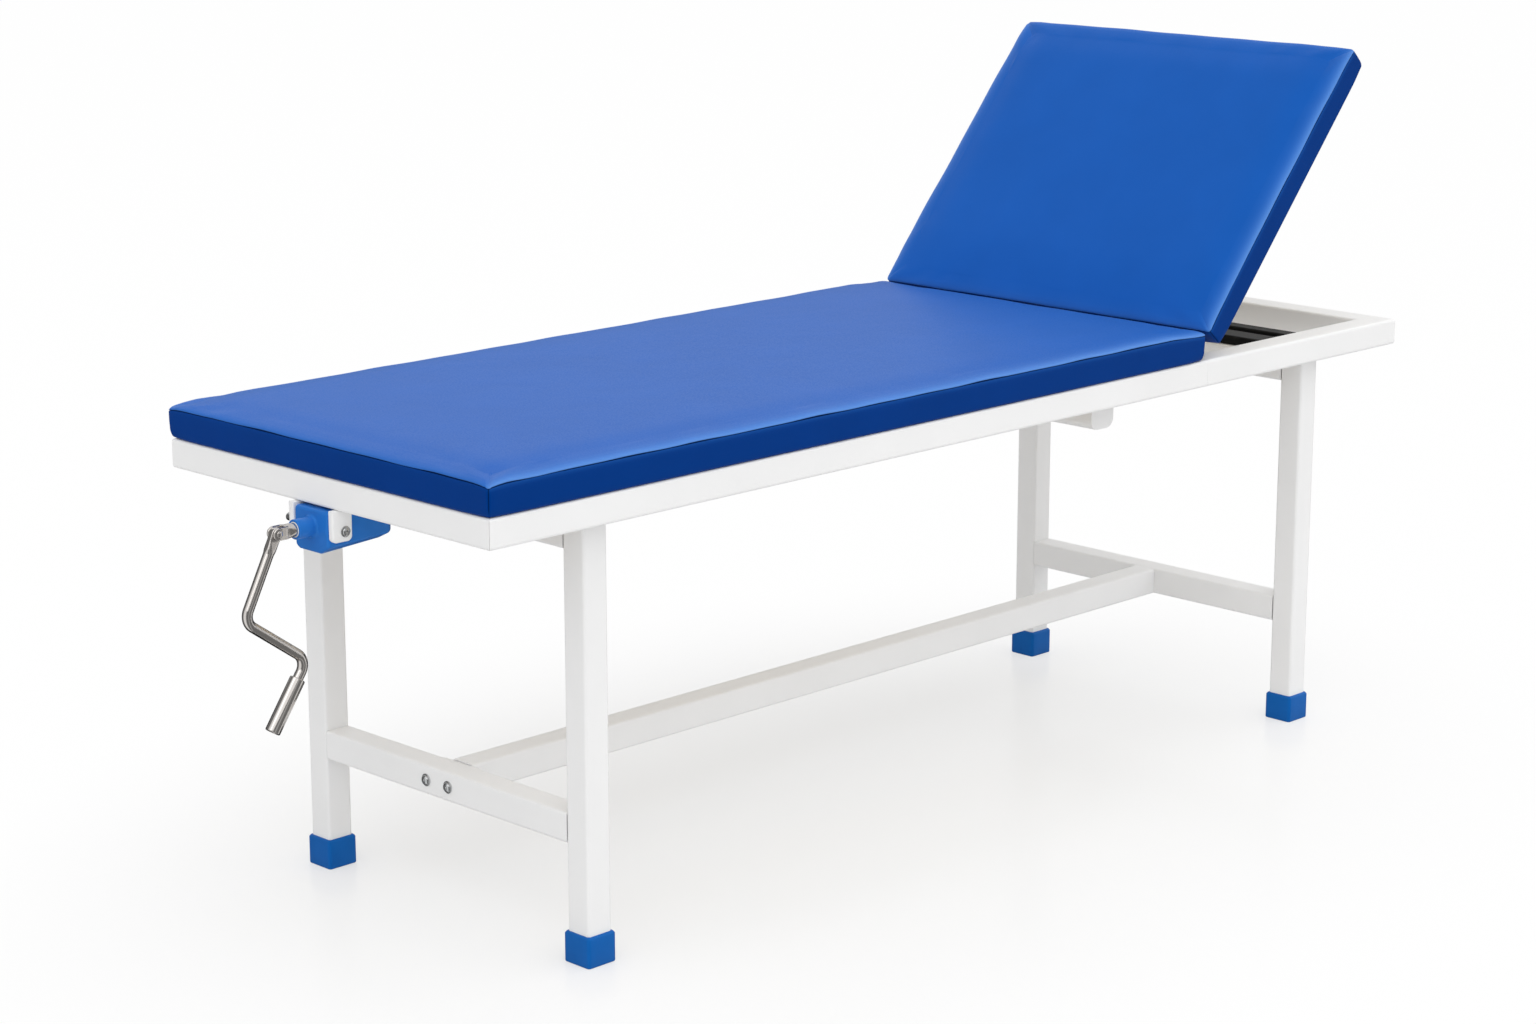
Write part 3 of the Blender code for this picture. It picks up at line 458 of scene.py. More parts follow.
def piece(name, points, faces, body, slot, stands_for):
    """An object from points and faces in its slot's finish, shaded smooth, riding on a body."""
    mesh = bpy.data.meshes.new(name)
    mesh.from_pydata(np.reshape(points, (-1, 3)).tolist(), [], faces)
    mesh.materials.append(FINISHES[slot])
    form = bmesh.new()
    form.from_mesh(mesh)
    bmesh.ops.recalc_face_normals(form, faces=form.faces)
    form.to_mesh(mesh)
    form.free()
    mesh.shade_smooth()
    mesh.set_sharp_from_angle(angle=SHARP)
    made = bpy.data.objects.new(name, mesh)
    scene.collection.objects.link(made)
    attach(made, body)
    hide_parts(*stands_for)
    return made


def fillet(path, radius, steps=8):
    """A path whose inner corners are arcs: each arc turns from one leg to the next about a
    centre on the corner's bisector, by spherical interpolation between its two end radii."""
    path = np.array(path, float)
    rounded = [path[:1]]
    for before, at, after in zip(path, path[1:], path[2:]):
        into, away = at - before, after - at
        lengths = np.linalg.norm(into), np.linalg.norm(away)
        into, away = into / lengths[0], away / lengths[1]
        turn = math.acos(np.clip(into @ away, -1, 1))
        trim = min(radius * math.tan(turn / 2), MOST_TRIM * min(lengths))
        bend = trim / math.tan(turn / 2)
        inward = (away - into) / np.linalg.norm(away - into)
        centre = at + inward * bend / math.cos(turn / 2)
        first, last = at - into * trim - centre, at + away * trim - centre
        share = np.linspace(0, 1, steps + 1)[:, None]
        arc = np.sin((1 - share) * turn) * first + np.sin(share * turn) * last
        rounded.append(centre + arc / math.sin(turn))
    rounded.append(path[-1:])
    return np.concatenate(rounded)


def turned(profile, origin, axis, sides=64):
    """Points of a surface of revolution: each (distance, radius) of the profile becomes a circle
    of that radius, at that distance along the axis from the origin."""
    axis = np.array(axis, float) / np.linalg.norm(axis)
    across = np.cross(axis, (0.0, 1.0, 0.0) if abs(axis[1]) < 0.9 else (1.0, 0.0, 0.0))
    across /= np.linalg.norm(across)
    third = np.cross(axis, across)
    angle = np.linspace(0, 2 * math.pi, sides, endpoint=False)
    circle = np.cos(angle)[:, None] * across + np.sin(angle)[:, None] * third
    distance, radius = np.array(profile, float).T
    return np.array(origin) + distance[:, None, None] * axis + radius[:, None, None] * circle


def capped(rows, columns):
    """Quads between rows, and a flat face over the first and over the last row."""
    first = list(range(columns))[::-1]
    last = list(range((rows - 1) * columns, rows * columns))
    return quads(rows, columns) + [first, last]


def joined(*grids):
    """Points and faces of several capped grids in one piece."""
    faces, first = [], 0
    for rows, columns, _ in (grid.shape for grid in grids):
        faces += [[first + i for i in face] for face in capped(rows, columns)]
        first += rows * columns
    return np.concatenate([grid.reshape(-1, 3) for grid in grids]), faces


# %% [markdown]
# ## The shape of a pad
# A pad is foam on a board under a sewn cover. The top panel rolls over the edge and meets the side
# band at a seam that runs right round; the band is drawn in towards the board below. Seen from
# above, every level is a rounded rectangle, so the side is a stack of such outlines. The middle of
# the top is a Coons patch: each inner point blends the four sides of the last outline, which
# keeps the grid even with a corner of the patch in each corner of the pad.

# %% Pad outline and patch
SEAM_UP = 37.5 * MM
SEAM_LIFT = 4 * MM
LIFT_REACH = 25 * MM
CORNER = 6 * MM
DRAWN_IN = 2 * MM
RIM = 17.7 * MM
RIM_UP = 0.1 * MM
RECESS = 12.3 * MM
UNDERSIDE = 14 * MM
CURL = 5 * MM
BAND_STOP = 1.8 * MM
SEAM_IN = 0.2 * MM
SEAM_DEPTH = 1.5 * MM
SEAM_WIDTH = 0.52 * MM
SEAM_ROWS = (-1.3, -0.9, -0.5, -0.2, 0, 0.2, 0.5, 0.9, 1.3)
ROLL_FROM = 1.0 * MM
ROLL_IN = 11 * MM
ROLL_UP = 4.6 * MM
TOP_ROWS = (15, 20, 27)
STRAIGHT_STEP = 12 * MM
FROM_MIDDLE = np.array((0, 0.09, 0.18, 0.29, 0.44, 0.68, 1))


def side_columns(length):
    """Columns of one side, from corner middle to corner middle: the share of the straight part
    and the angle past it. They crowd towards the corner's middle, where the upright seam is."""
    steps = round(length / STRAIGHT_STEP)
    bend = math.pi / 4 * (1 - FROM_MIDDLE)
    straight = np.linspace(-1, 1, steps + 1)[1:-1]
    share = np.concatenate((np.full(len(bend), -1), straight, np.full(len(bend), 1)))
    angle = np.concatenate((-bend, np.zeros(len(straight)), bend[::-1]))
    return share, angle


def outlines(half_x, half_y, radius, columns):
    """Rounded rectangles, one for each entry of the halves and radii. Along a side a point is at
    share * (half - radius) + radius * sin(angle), and out from the middle it is at
    half - radius + radius * cos(angle). Four sides, a quarter turn apart, close the outline."""
    half_x, half_y, radius = (np.atleast_1d(v)[:, None] for v in (half_x, half_y, radius))
    sides = []
    for turn in range(4):
        long, out = (half_x, half_y) if turn % 2 == 0 else (half_y, half_x)
        share, angle = columns[turn % 2]
        u = share * (long - radius) + radius * np.sin(angle)
        v = out - radius + radius * np.cos(angle)
        x, y = ((u, -v), (v, u), (-u, v), (-v, -u))[turn]
        sides.append(np.stack((x, y), -1)[:, :-1])
    return np.concatenate(sides, 1)


def coons(edge, columns):
    """A grid inside a closed outline: the blend of its near and far sides, plus the blend of its
    foot and head sides, less the blend of its four corners."""
    n, m = len(columns[0][0]), len(columns[1][0])
    ring = np.concatenate((edge, edge[:1]))
    near, head = ring[:n], ring[n - 1:n + m - 1]
    far, foot = ring[n + m - 2:2 * n + m - 2][::-1], ring[2 * n + m - 3:][::-1]
    u = np.linspace(0, 1, n)[:, None, None]
    v = np.linspace(0, 1, m)[None, :, None]
    across = (1 - v) * near[:, None] + v * far[:, None]
    length = (1 - u) * foot[None] + u * head[None]
    corners = (1 - u) * ((1 - v) * near[0] + v * far[0]) + u * ((1 - v) * near[-1] + v * far[-1])
    return across + length - corners


def pad_rows():
    """Rows of the side, from the board's recess up over the roll: inset, height, painted shade."""
    bottom = [(RIM, RECESS, 0), (RIM, RIM_UP, 0), (UNDERSIDE, 0, 0)]
    turn = np.radians(np.linspace(0, 90, 6))
    curl = np.stack(
        (DRAWN_IN + CURL * (1 - np.sin(turn)), CURL * (1 - np.cos(turn)), 0 * turn), -1,
    )
    rise = np.linspace(CURL, SEAM_UP - BAND_STOP, 9)[1:]
    drawn = DRAWN_IN * (1 - (rise - CURL) / (SEAM_UP - CURL)) ** 2
    side = np.stack((drawn, rise, 0 * rise), -1)
    dip = np.array(SEAM_ROWS) * MM
    depth = np.exp(-(dip / SEAM_WIDTH) ** 2)
    # The third column is painted shade, which darkens the fold of the seam.
    fold = np.stack((SEAM_IN + SEAM_DEPTH * depth, SEAM_UP + dip, depth), -1)
    roll = np.radians(np.linspace(12, 90, 13))
    over = np.stack(
        (SEAM_IN + ROLL_IN * (1 - np.cos(roll)), SEAM_UP + ROLL_FROM + ROLL_UP * np.sin(roll),
         0 * roll), -1,
    )
    flat = np.array([(inset * MM, SEAM_UP + ROLL_FROM + ROLL_UP, 0) for inset in TOP_ROWS])
    return np.concatenate((bottom, curl, side, fold, over, flat))


print("rows up a pad's side:", len(pad_rows()))

# %% [markdown]
# ## The pad's fine surface
# The rows and columns above give every point of the cover at once. Onto them go the crown, the
# upright corner seams, which pull the band in, the tucked-in corners below, and a few slow puckers
# beside the seam, where the thread draws the vinyl.

# %% Pad surface
CROWN = 2.4 * MM
CROWN_REACH = 190 * MM
CROWN_POWER = 2.4
CORNER_DEPTH = 1.0 * MM
CORNER_WIDTH = 0.9 * MM
# Strength of the painted shade in the upright corner seams.
CORNER_SHADE = 0.9
CORNER_GROWTH = 0.25
LEAST_CORNER = 3 * MM
BAND_FROM = 3 * MM
BAND_FADE = 5 * MM
BAND_IN = 9 * MM
PUCKER = 0.35 * MM
PUCKER_UP = 3 * MM
PUCKER_REACH = 14 * MM
PUCKER_WAVES = ((16.5 * MM, 0), (27.3 * MM, 1.1), (47 * MM, 2.3))
HINGE_REACH = 100 * MM
TUCK = 4.5 * MM
TUCK_UP = 14 * MM
# Painted highlight beside the seam: its reach on top and down the band, its strength on top and on
# the band, and its share at the ends.
HIGHLIGHT_IN = 7 * MM
HIGHLIGHT_DOWN = 1.6 * MM
HIGHLIGHT_TOP = 0.5
HIGHLIGHT_BAND = 0.6
HIGHLIGHT_AT_ENDS = 0.25


def crown(flat, half_x, half_y):
    """Height of the crown: a rise towards the middle along each direction, multiplied."""
    inside = np.clip((np.array((half_x, half_y)) - np.abs(flat)) / CROWN_REACH, 0, 1)
    return CROWN * np.prod(1 - (1 - inside) ** CROWN_POWER, -1)


def pad_surface(half_x, half_y, hinge_end):
    """The pad about its middle, on z = 0: columns, rows, side points, patch points, and the painted
    seam shade and painted seam highlight of the side. The seam lies lowest at the corners, where
    the cover is pulled tight, and at the hinge. The painted highlight is strongest along the near
    and far sides and weakest at the ends."""
    columns = side_columns(2 * half_x), side_columns(2 * half_y)
    rows = pad_rows()
    inset, up, fold = rows.T
    on_top = up >= SEAM_UP
    sharp = np.maximum(CORNER - inset, LEAST_CORNER)
    radius = np.where(on_top, CORNER + CORNER_GROWTH * inset, sharp)
    ring = outlines(half_x - inset, half_y - inset, radius, columns)
    bend = np.concatenate([columns[turn % 2][1][:-1] for turn in range(4)])
    side_turn = np.repeat(np.arange(4) - 1, [len(columns[turn % 2][1]) - 1 for turn in range(4)])
    outward = side_turn * math.pi / 2 + bend
    upright = np.exp(-((math.pi / 4 - np.abs(bend)) * CORNER / CORNER_WIDTH) ** 2)
    outside = inset < BAND_IN
    on_band = np.clip((up - BAND_FROM) / BAND_FADE, 0, 1) * (up < SEAM_UP) * outside
    from_corner = np.max((half_x, half_y) - np.abs(ring[-1]), -1) - inset[-1]
    near_corner = np.exp(-(np.maximum(from_corner, 0) / LIFT_REACH) ** 2)
    under = np.clip(1 - up / TUCK_UP, 0, 1) ** 2 * outside
    pull = CORNER_DEPTH * on_band[:, None] * upright + TUCK * under[:, None] * near_corner
    ring -= pull[..., None] * np.stack((np.cos(outward), np.sin(outward)), -1)
    walk = np.concatenate(([0], np.cumsum(np.linalg.norm(np.diff(ring[-1], axis=0), axis=-1))))
    wave = sum(np.sin(walk / length + phase) for length, phase in PUCKER_WAVES)
    from_hinge = np.clip((half_x - hinge_end * ring[-1, :, 0]) / HINGE_REACH, 0, 1)
    lift = SEAM_LIFT * (1 - near_corner) * from_hinge
    beside = np.exp(-np.abs(up - SEAM_UP - PUCKER_UP) / PUCKER_REACH - inset / PUCKER_REACH)
    high = up[:, None] + (on_top * beside)[:, None] * PUCKER * wave * (1 - near_corner)
    high += on_top[:, None] * crown(ring, half_x, half_y)
    high += np.clip(up / SEAM_UP, 0, 1)[:, None] * lift
    patch = coons(np.concatenate((ring[-1], lift[:, None]), 1), columns)
    top = up[-1] + patch[..., 2] + crown(patch[..., :2], half_x, half_y)
    # Painted shade: the seam's fold and the upright corner seams are darkened, standing in for
    # their shadow.
    crease = np.maximum(fold[:, None], CORNER_SHADE * on_band[:, None] * upright)
    # Painted highlight: a paler colour on the roll above the seam and on the band's top edge,
    # strongest along the near and far sides.
    rim_highlight = np.where(on_top, HIGHLIGHT_TOP * np.exp(-inset / HIGHLIGHT_IN),
                    HIGHLIGHT_BAND * np.exp((up - SEAM_UP) / HIGHLIGHT_DOWN)) * (1 - fold)
    stretch = rim_highlight[:, None] * (HIGHLIGHT_AT_ENDS + (1 - HIGHLIGHT_AT_ENDS) * np.abs(np.sin(outward)))
    side = np.concatenate((ring, high[..., None]), -1)
    patch = np.concatenate((patch[..., :2], top[..., None]), -1)
    return columns, rows, side, patch, {"crease": crease, "stretch": stretch}


def patch_numbers(rows, columns, n, m):
    """Vertex numbers of the patch's grid. Its border is the last outline and takes its numbers."""
    ring = (rows - 1) * columns + np.arange(columns)
    number = np.empty((n, m), int)
    number[1:-1, 1:-1] = rows * columns + np.arange((n - 2) * (m - 2)).reshape(n - 2, m - 2)
    number[:, 0] = ring[:n]
    number[-1] = ring[n - 1:n + m - 1]
    number[::-1, -1] = ring[n + m - 2:2 * n + m - 2]
    number[0, ::-1] = np.append(ring[2 * n + m - 3:], ring[0])
    return number


def cover_faces(rows, columns, n, m):
    """Quads up the side, then quads of the patch, then one face over the recess below."""
    number = patch_numbers(rows, columns, n, m)
    corners = (number[:-1, :-1], number[1:, :-1], number[1:, 1:], number[:-1, 1:])
    patch = np.stack(corners, -1).reshape(-1, 4).tolist()
    return quads(rows, columns) + patch + [list(range(columns))[::-1]]


# %% [markdown]
# ## Stuffing a pad
# Foam under a tight cover bulges most where it is far from a seam. Blender's cloth solver finds
# that shape: a coarse copy of the cover is held at the board, air pressure swells it for twenty
# frames with gravity off, and the movement is capped softly. The coarse copy shares the fine
# grid's numbering, so its movement carries over by interpolation matrices, one along the rows and
# one along the columns.

# %% Cloth helpers
SWELL = 4.5 * MM
SIDEWAYS = 0.3
PRESSURE = 4.0
FRAMES = 20
COARSE_ROWS = (0, 2, 8, 11, 14, 17, 21, 25, 30, 34, 38, 40, 41)
HELD_ROWS = 3
COARSE_BEND = np.array((0, 3, 6))


def spread(fine, coarse):
    """The matrix that interpolates values at coarse stations to fine ones."""
    return np.stack([np.interp(fine, coarse, row) for row in np.eye(len(coarse))], 1)


def swollen(points, faces, held):
    """Where the cloth solver takes the points under pressure, with the first few held."""
    mesh = bpy.data.meshes.new("cover_trial")
    mesh.from_pydata(points.tolist(), [], faces)
    cover = bpy.data.objects.new("cover_trial", mesh)
    scene.collection.objects.link(cover)
    cover.vertex_groups.new(name="held").add(list(range(held)), 1.0, "REPLACE")
    cloth = cover.modifiers.new("cloth", "CLOTH")
    cloth.settings.vertex_group_mass = "held"
    cloth.settings.use_pressure = True
    cloth.settings.uniform_pressure_force = PRESSURE
    cloth.settings.effector_weights.gravity = 0
    cloth.point_cache.frame_end = FRAMES
    for step in range(1, FRAMES + 1):
        scene.frame_set(step)
    shaped = cover.evaluated_get(bpy.context.evaluated_depsgraph_get()).to_mesh()
    moved = np.empty(len(points) * 3, np.float32)
    shaped.vertices.foreach_get("co", moved)
    scene.frame_set(1)
    bpy.data.objects.remove(cover)
    return moved.reshape(-1, 3)


def stuffed(side, patch, columns):
    """Side and patch after the solver. A shift tends to the most allowed as it grows."""
    walk = np.arange(len(side))
    rows = np.array(COARSE_ROWS)
    stations, keep = [], []
    for share, angle in columns:
        straight = np.arange(len(FROM_MIDDLE) + 1, len(share) - len(FROM_MIDDLE) - 1, 2)
        keep.append(np.concatenate((COARSE_BEND, straight, len(share) - 1 - COARSE_BEND[::-1])))
        step = np.hypot(np.diff(share), np.diff(angle))
        stations.append(np.concatenate(([0], np.cumsum(step))))
    pick, at, numbered, reached = [], [], 0, 0
    for turn in range(4):
        pick.append(numbered + keep[turn % 2][:-1])
        at.append(reached + stations[turn % 2][:-1])
        numbered += len(stations[turn % 2]) - 1
        reached += stations[turn % 2][-1]
    pick, at = np.concatenate(pick), np.concatenate(at)
    n, m = len(keep[0]), len(keep[1])
    grid = patch[np.ix_(*keep)]
    points = np.concatenate((side[rows][:, pick].reshape(-1, 3), grid[1:-1, 1:-1].reshape(-1, 3)))
    faces = cover_faces(len(rows), len(pick), n, m)
    shift = swollen(points, faces, HELD_ROWS * len(pick)) - points
    size = np.linalg.norm(shift, axis=-1, keepdims=True)
    shift *= np.array((SIDEWAYS, SIDEWAYS, 1)) / (1 + size / SWELL)
    print("  solver moved up to", round(size.max() / MM, 2), "mm, kept", round(shift.max() / MM, 2))
    ring = shift[:len(rows) * len(pick)].reshape(len(rows), len(pick), 3)
    ring = np.concatenate((ring, ring[:, :1]), 1)
    by_row, by_column = spread(walk, rows), spread(at, np.append(at[pick], reached))
    side = side + np.einsum("ij,jkc,lk->ilc", by_row, ring, by_column)
    inner = shift[patch_numbers(len(rows), len(pick), n, m)]
    by_long, by_short = (spread(stations[i], stations[i][keep[i]]) for i in (0, 1))
    return side, patch + np.einsum("ij,jkc,lk->ilc", by_long, inner, by_short)


# %% [markdown]
# ## The two pads
# The seat lies as it is built. The backrest is built flat too, and then turned about the hinge by
# the angle at which the frame shows it. Its flat size comes from the solid, turned back the same
# way. Panel and band are two finishes on one mesh, split at the seam's row.

# %% Seat and backrest
tilt = joints["backrest_tilt"]
hinge = Matrix.Translation(tilt["pos_m"])
turn = Matrix.Rotation(math.radians(-tilt["range_deg"][0]), 4, tilt["axis"])
RAISED = hinge @ turn @ hinge.inverted()


def corners(node):
    """The points of a node's solid, as an array."""
    mesh = frame["nodes"][node].data
    points = np.empty(len(mesh.vertices) * 3, np.float32)
    mesh.vertices.foreach_get("co", points)
    return points.reshape(-1, 3)


def carried(points, place):
    """Points moved by a matrix."""
    place = np.array(place)
    return points @ place[:3, :3].T + place[:3, 3]


def pad(name, node, body, place, hinge_end):
    """A sewn pad in the room of its solid, turned into place. Its hinge end is 1 or -1 along X."""
    flat = carried(corners(node), place.inverted())
    low, high = flat.min(0), flat.max(0)
    middle = np.array((*(low + high)[:2] / 2, low[2]))
    columns, rows, side, patch, marks = pad_surface(*(high - low)[:2] / 2, hinge_end)
    side, patch = stuffed(side, patch, columns)
    n, m = patch.shape[:2]
    inner = patch[1:-1, 1:-1].reshape(-1, 3)
    points = np.concatenate((side.reshape(-1, 3), inner)) + middle
    faces = cover_faces(len(rows), side.shape[1], n, m)
    made = piece(name, carried(points, place), faces, body, "blue_vinyl", [node])
    made.data.materials.append(TOP_VINYL)
    seam = int(np.argmax(rows[:, 2])) * side.shape[1]
    panel = np.ones(len(faces), np.int32)
    panel[:seam] = 0
    panel[-1] = 0
    made.data.polygons.foreach_set("material_index", panel)
    for mark, amount in marks.items():
        amount = np.concatenate((amount.ravel(), np.zeros(len(inner))))
        made.data.attributes.new(mark, "FLOAT", "POINT").data.foreach_set("value", amount)
    print(name, "mm:", np.round((high - low) / MM, 1).tolist(), "faces:", len(faces))


pad("seat_cushion", "seat_pad", "frame", Matrix(), 1)
pad("backrest_cushion", "backrest_pad", "backrest", RAISED, -1)

# %% [markdown]
# ## Crank arm
# The arm is one round bar bent twice, with its upper end forged flat into an eye. A section
# travels along the bar's line: its half widths and the power of its superellipse change from a
# round bar to a flat eye with rounded edges, and at the eye's end the width closes as a half
# circle.

# %% Crank arm
SHANK = 117.9 * MM
HANG = math.radians(27)
WRIST_TO_GRIP = 26.7 * MM
BEND_RADIUS = 18 * MM
BAR = 6.9 * MM
BAR_IN_GRIP = 60 * MM
EYE = 8.2 * MM
EYE_HALF = 4.2 * MM
EYE_TAPER = 0.9
EYE_POWER = 7
ROUND_POWER = 2
FORGED = 40 * MM
EYE_WIDE_TO = 12 * MM
EYE_THIN_TO = 11 * MM
EYE_FLAT_TO = 10 * MM
ROUND_FROM = 27 * MM
BEYOND = 1.0
KNUCKLE = np.array(joints["crank_fold"]["pos_m"])
DOWN = np.array(joints["grip_spin"]["axis"])
GRIP_TOP = np.array(joints["grip_spin"]["pos_m"])
SIDEWAY = np.array((0.0, 1.0, 0.0))


def superellipse(wide, thick, power, sides):
    """Closed outlines (wide * |cos|^(2/p), thick * |sin|^(2/p)) with the signs of cos and sin."""
    angle = np.linspace(0, 2 * math.pi, sides, endpoint=False)
    power = 2 / np.asarray(power, float)[:, None]
    c, s = np.cos(angle), np.sin(angle)
    u = np.asarray(wide)[:, None] * np.sign(c) * np.abs(c) ** power
    v = np.asarray(thick)[:, None] * np.sign(s) * np.abs(s) ** power
    return np.stack((u, v), -1)


def swept(line, wide, thick, power, sides=40):
    """Outlines carried along a line in an XZ plane: across the line in that plane, and along Y."""
    way = np.gradient(line, axis=0)
    way /= np.linalg.norm(way, axis=1)[:, None]
    across = np.cross(way, SIDEWAY)
    flat = superellipse(wide, thick, power, sides)
    return line[:, None] + flat[..., :1] * across[:, None] + flat[..., 1:] * SIDEWAY


hang = np.array((-math.sin(HANG), 0, -math.cos(HANG)))
elbow = KNUCKLE + SHANK * hang
wrist = GRIP_TOP - WRIST_TO_GRIP * DOWN
line = fillet((KNUCKLE, elbow, wrist, GRIP_TOP + BAR_IN_GRIP * DOWN), BEND_RADIUS, 16)
arc = np.radians(np.linspace(0, 90, 15))
ends = KNUCKLE - EYE * np.cos(arc)[:-1, None] * hang
forged = KNUCKLE + np.linspace(0, FORGED, 28)[1:, None] * hang
line = np.concatenate((ends, KNUCKLE[None], forged, line[1:]))
far = (line - KNUCKLE) @ hang
far[len(ends) + len(forged) + 1:] = BEYOND
closing = np.sqrt(np.maximum(EYE ** 2 - far ** 2, 1e-10))
tapering = np.interp(far, (0, EYE_WIDE_TO, ROUND_FROM), (EYE, EYE_TAPER * EYE, BAR))
wide = np.where(far < 0, closing, tapering)
thick = np.interp(far, (EYE_THIN_TO, ROUND_FROM), (EYE_HALF, BAR))
power = np.interp(far, (EYE_FLAT_TO, ROUND_FROM), (EYE_POWER, ROUND_POWER))
arm = swept(line, wide, thick, power)
piece("crank_bar", *joined(arm), "crank_arm", "polished_stainless", ["crank_arm"])
print("crank bar, mm:", np.round(np.ptp(line, axis=0) / MM, 1).tolist())

# %% [markdown]
# ## Grip, fork and pin
# The grip is a tube that turns on the bar: its profile runs down the outside, over a rounded lip,
# and back up the bore. The fork is forged on the end of the shaft: a round that swells to a block,
# with two cheeks beside the eye. A cheek is a plate whose outline shrinks over a rounded edge.

# %% Grip, fork and pin
GRIP_LENGTH = 75.5 * MM
GRIP = 10.2 * MM
BORE = 7.2 * MM
LIP = 1.4 * MM


def lip(at, radius, size, first, last, steps=7):
    """A quarter round of a profile, between two angles, about a point at a distance and radius."""
    turn = np.radians(np.linspace(first, last, steps))
    return np.stack((at + size * np.cos(turn), radius + size * np.sin(turn)), -1)


profile = np.concatenate((
    [(0, BORE)], lip(LIP, GRIP - LIP, LIP, 180, 90), [(0.5 * GRIP_LENGTH, GRIP)],
    lip(GRIP_LENGTH - LIP, GRIP - LIP, LIP, 90, 0),
    lip(GRIP_LENGTH - LIP / 2, BORE + LIP / 2, LIP / 2, 0, -90), [(0.6 * GRIP_LENGTH, BORE)],
))
sleeve = turned(profile, GRIP_TOP, DOWN, 72)
piece("grip_sleeve", sleeve, quads(*sleeve.shape[:2], True), "crank_grip", "polished_stainless",
      ["crank_grip"])

FORK = 8.5 * MM
SLOT = 4.5 * MM
CHEEK = 14 * MM
EDGE = 1.9 * MM
SHAFT = 7 * MM
NECK = 9.1 * MM
AXLE = np.array((1.0, 0.0, 0.0))
STATIONS = (
    (10.6 * MM, FORK, 5), (15 * MM, FORK, 5), (18 * MM, FORK, 4),
    (22 * MM, NECK, 2.4), (28 * MM, NECK, 2), (28.6 * MM, SHAFT, 2),
)
RIVET_HEAD = 4.5 * MM
RIVET_STEM = 3 * MM
RIVET_DOME = 1.5 * MM
RIVET_OUT = FORK + 0.3 * MM
POLE = 0.05 * MM


def plate(outline, low, high, edge, steps=5):
    """A plate between two heights along Y with a flat outline in XZ: near each face the outline
    draws in along its own normals by a quarter round."""
    side = np.roll(outline, -1, 0) - np.roll(outline, 1, 0)
    normal = np.stack((side[:, 1], -side[:, 0]), -1)
    normal /= np.linalg.norm(normal, axis=1)[:, None]
    turn = np.radians(np.linspace(0, 90, steps))
    inset = edge * (1 - np.sin(turn))
    rise = edge * (1 - np.cos(turn))
    inset, level = np.append(inset, inset[::-1]), np.append(low + rise, (high - rise)[::-1])
    flat = outline - inset[:, None, None] * normal
    level = np.broadcast_to(level[:, None], flat.shape[:2])
    return np.stack((flat[..., 0], level, flat[..., 1]), -1)


turn = np.radians(np.linspace(90, 270, 33))
nose = np.stack((KNUCKLE[0] + FORK * np.cos(turn), KNUCKLE[2] + FORK * np.sin(turn)), -1)
rest = np.stack((np.full(9, KNUCKLE[0] + CHEEK), KNUCKLE[2] + np.linspace(-FORK, FORK, 9)), -1)
cheek = np.concatenate((nose, rest))
plates = [
    plate(cheek, KNUCKLE[1] + low, KNUCKLE[1] + high, EDGE)
    for low, high in ((-FORK, -SLOT), (SLOT, FORK))
]
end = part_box("crank_shaft")[1].x - KNUCKLE[0]
reach, half, power = np.array((*STATIONS, (end, SHAFT, 2))).T
block = swept(KNUCKLE + reach[:, None] * AXLE, half, half, power)
piece("crank_fork", *joined(*plates, block), "crank_shaft", "polished_stainless", ["crank_shaft"])

dome = lip(0, 0, 1, 90, 0, 8) * (RIVET_DOME, RIVET_HEAD)
profile = np.concatenate((
    dome[::-1] * (-1, 1) - (RIVET_OUT, 0), [(0, RIVET_STEM)], dome + (RIVET_OUT, 0),
))
profile[:, 1] = np.maximum(profile[:, 1], POLE)
rivet = turned(profile, KNUCKLE, SIDEWAY, 40)
piece("fold_rivet", *joined(rivet), "crank_shaft", "polished_stainless", ["fold_pin"])
print("grip, fork and rivet made")

# %% [markdown]
# ## Crank housing
# The housing is one moulding: a block whose lower corners are cut off, the near one more than the
# far one, with a collar for the shaft. One section with rounded corners runs along it, rises a
# little below towards the tail, and draws in over a quarter round at both ends. The collar's
# profile runs into the block's face over a fillet, as the mould was cut. A thin white ring closes
# the collar round the shaft.

# %% Housing, collar and ring
DRIVE = np.array(joints["crank_turn"]["pos_m"])
FRONT = 6 * MM
TAIL = 100 * MM
HOUSE_HALF = 34.5 * MM
HOUSE_BELOW = 34.2 * MM
HOUSE_ABOVE = 23 * MM
HOUSE_EDGE = 4.5 * MM
TAIL_EDGE = 11 * MM
TAIL_RISE = 6 * MM
RISE_FROM = 25 * MM
HOUSE_CORNER = 5 * MM
SLOPE_WIDE = 19 * MM
SLOPE_HIGH = 11 * MM
FAR_SLOPE = 0.4
COLLAR = 13 * MM
COLLAR_LENGTH = 27 * MM
COLLAR_LIP = 1.2 * MM
COLLAR_FILLET = 4 * MM
COLLAR_SUNK = 1 * MM
RING = 10 * MM
RING_BORE = 9.25 * MM
RING_PLAY = 0.3 * MM
RING_LIP = 0.6 * MM
RING_DEPTH = 2.2 * MM


def house_section(inset):
    """The block's outline across the shaft, from the middle of its top and round to it again."""
    side, top, low = HOUSE_HALF - inset, HOUSE_ABOVE - inset, -HOUSE_BELOW + inset
    cut = math.hypot(SLOPE_WIDE, SLOPE_HIGH)
    in_wide = inset * (cut - SLOPE_WIDE) / SLOPE_HIGH
    in_high = inset * (cut - SLOPE_HIGH) / SLOPE_WIDE
    flat, far_flat = HOUSE_HALF - np.array((1, FAR_SLOPE)) * SLOPE_WIDE - in_wide
    slope, far_slope = np.array((1, FAR_SLOPE)) * SLOPE_HIGH - HOUSE_BELOW + in_high
    path = ((0, top), (-side, top), (-side, slope), (-flat, low), (far_flat, low),
            (side, far_slope), (side, top), (0, top))
    return fillet(path, HOUSE_CORNER, 8)[:-1]


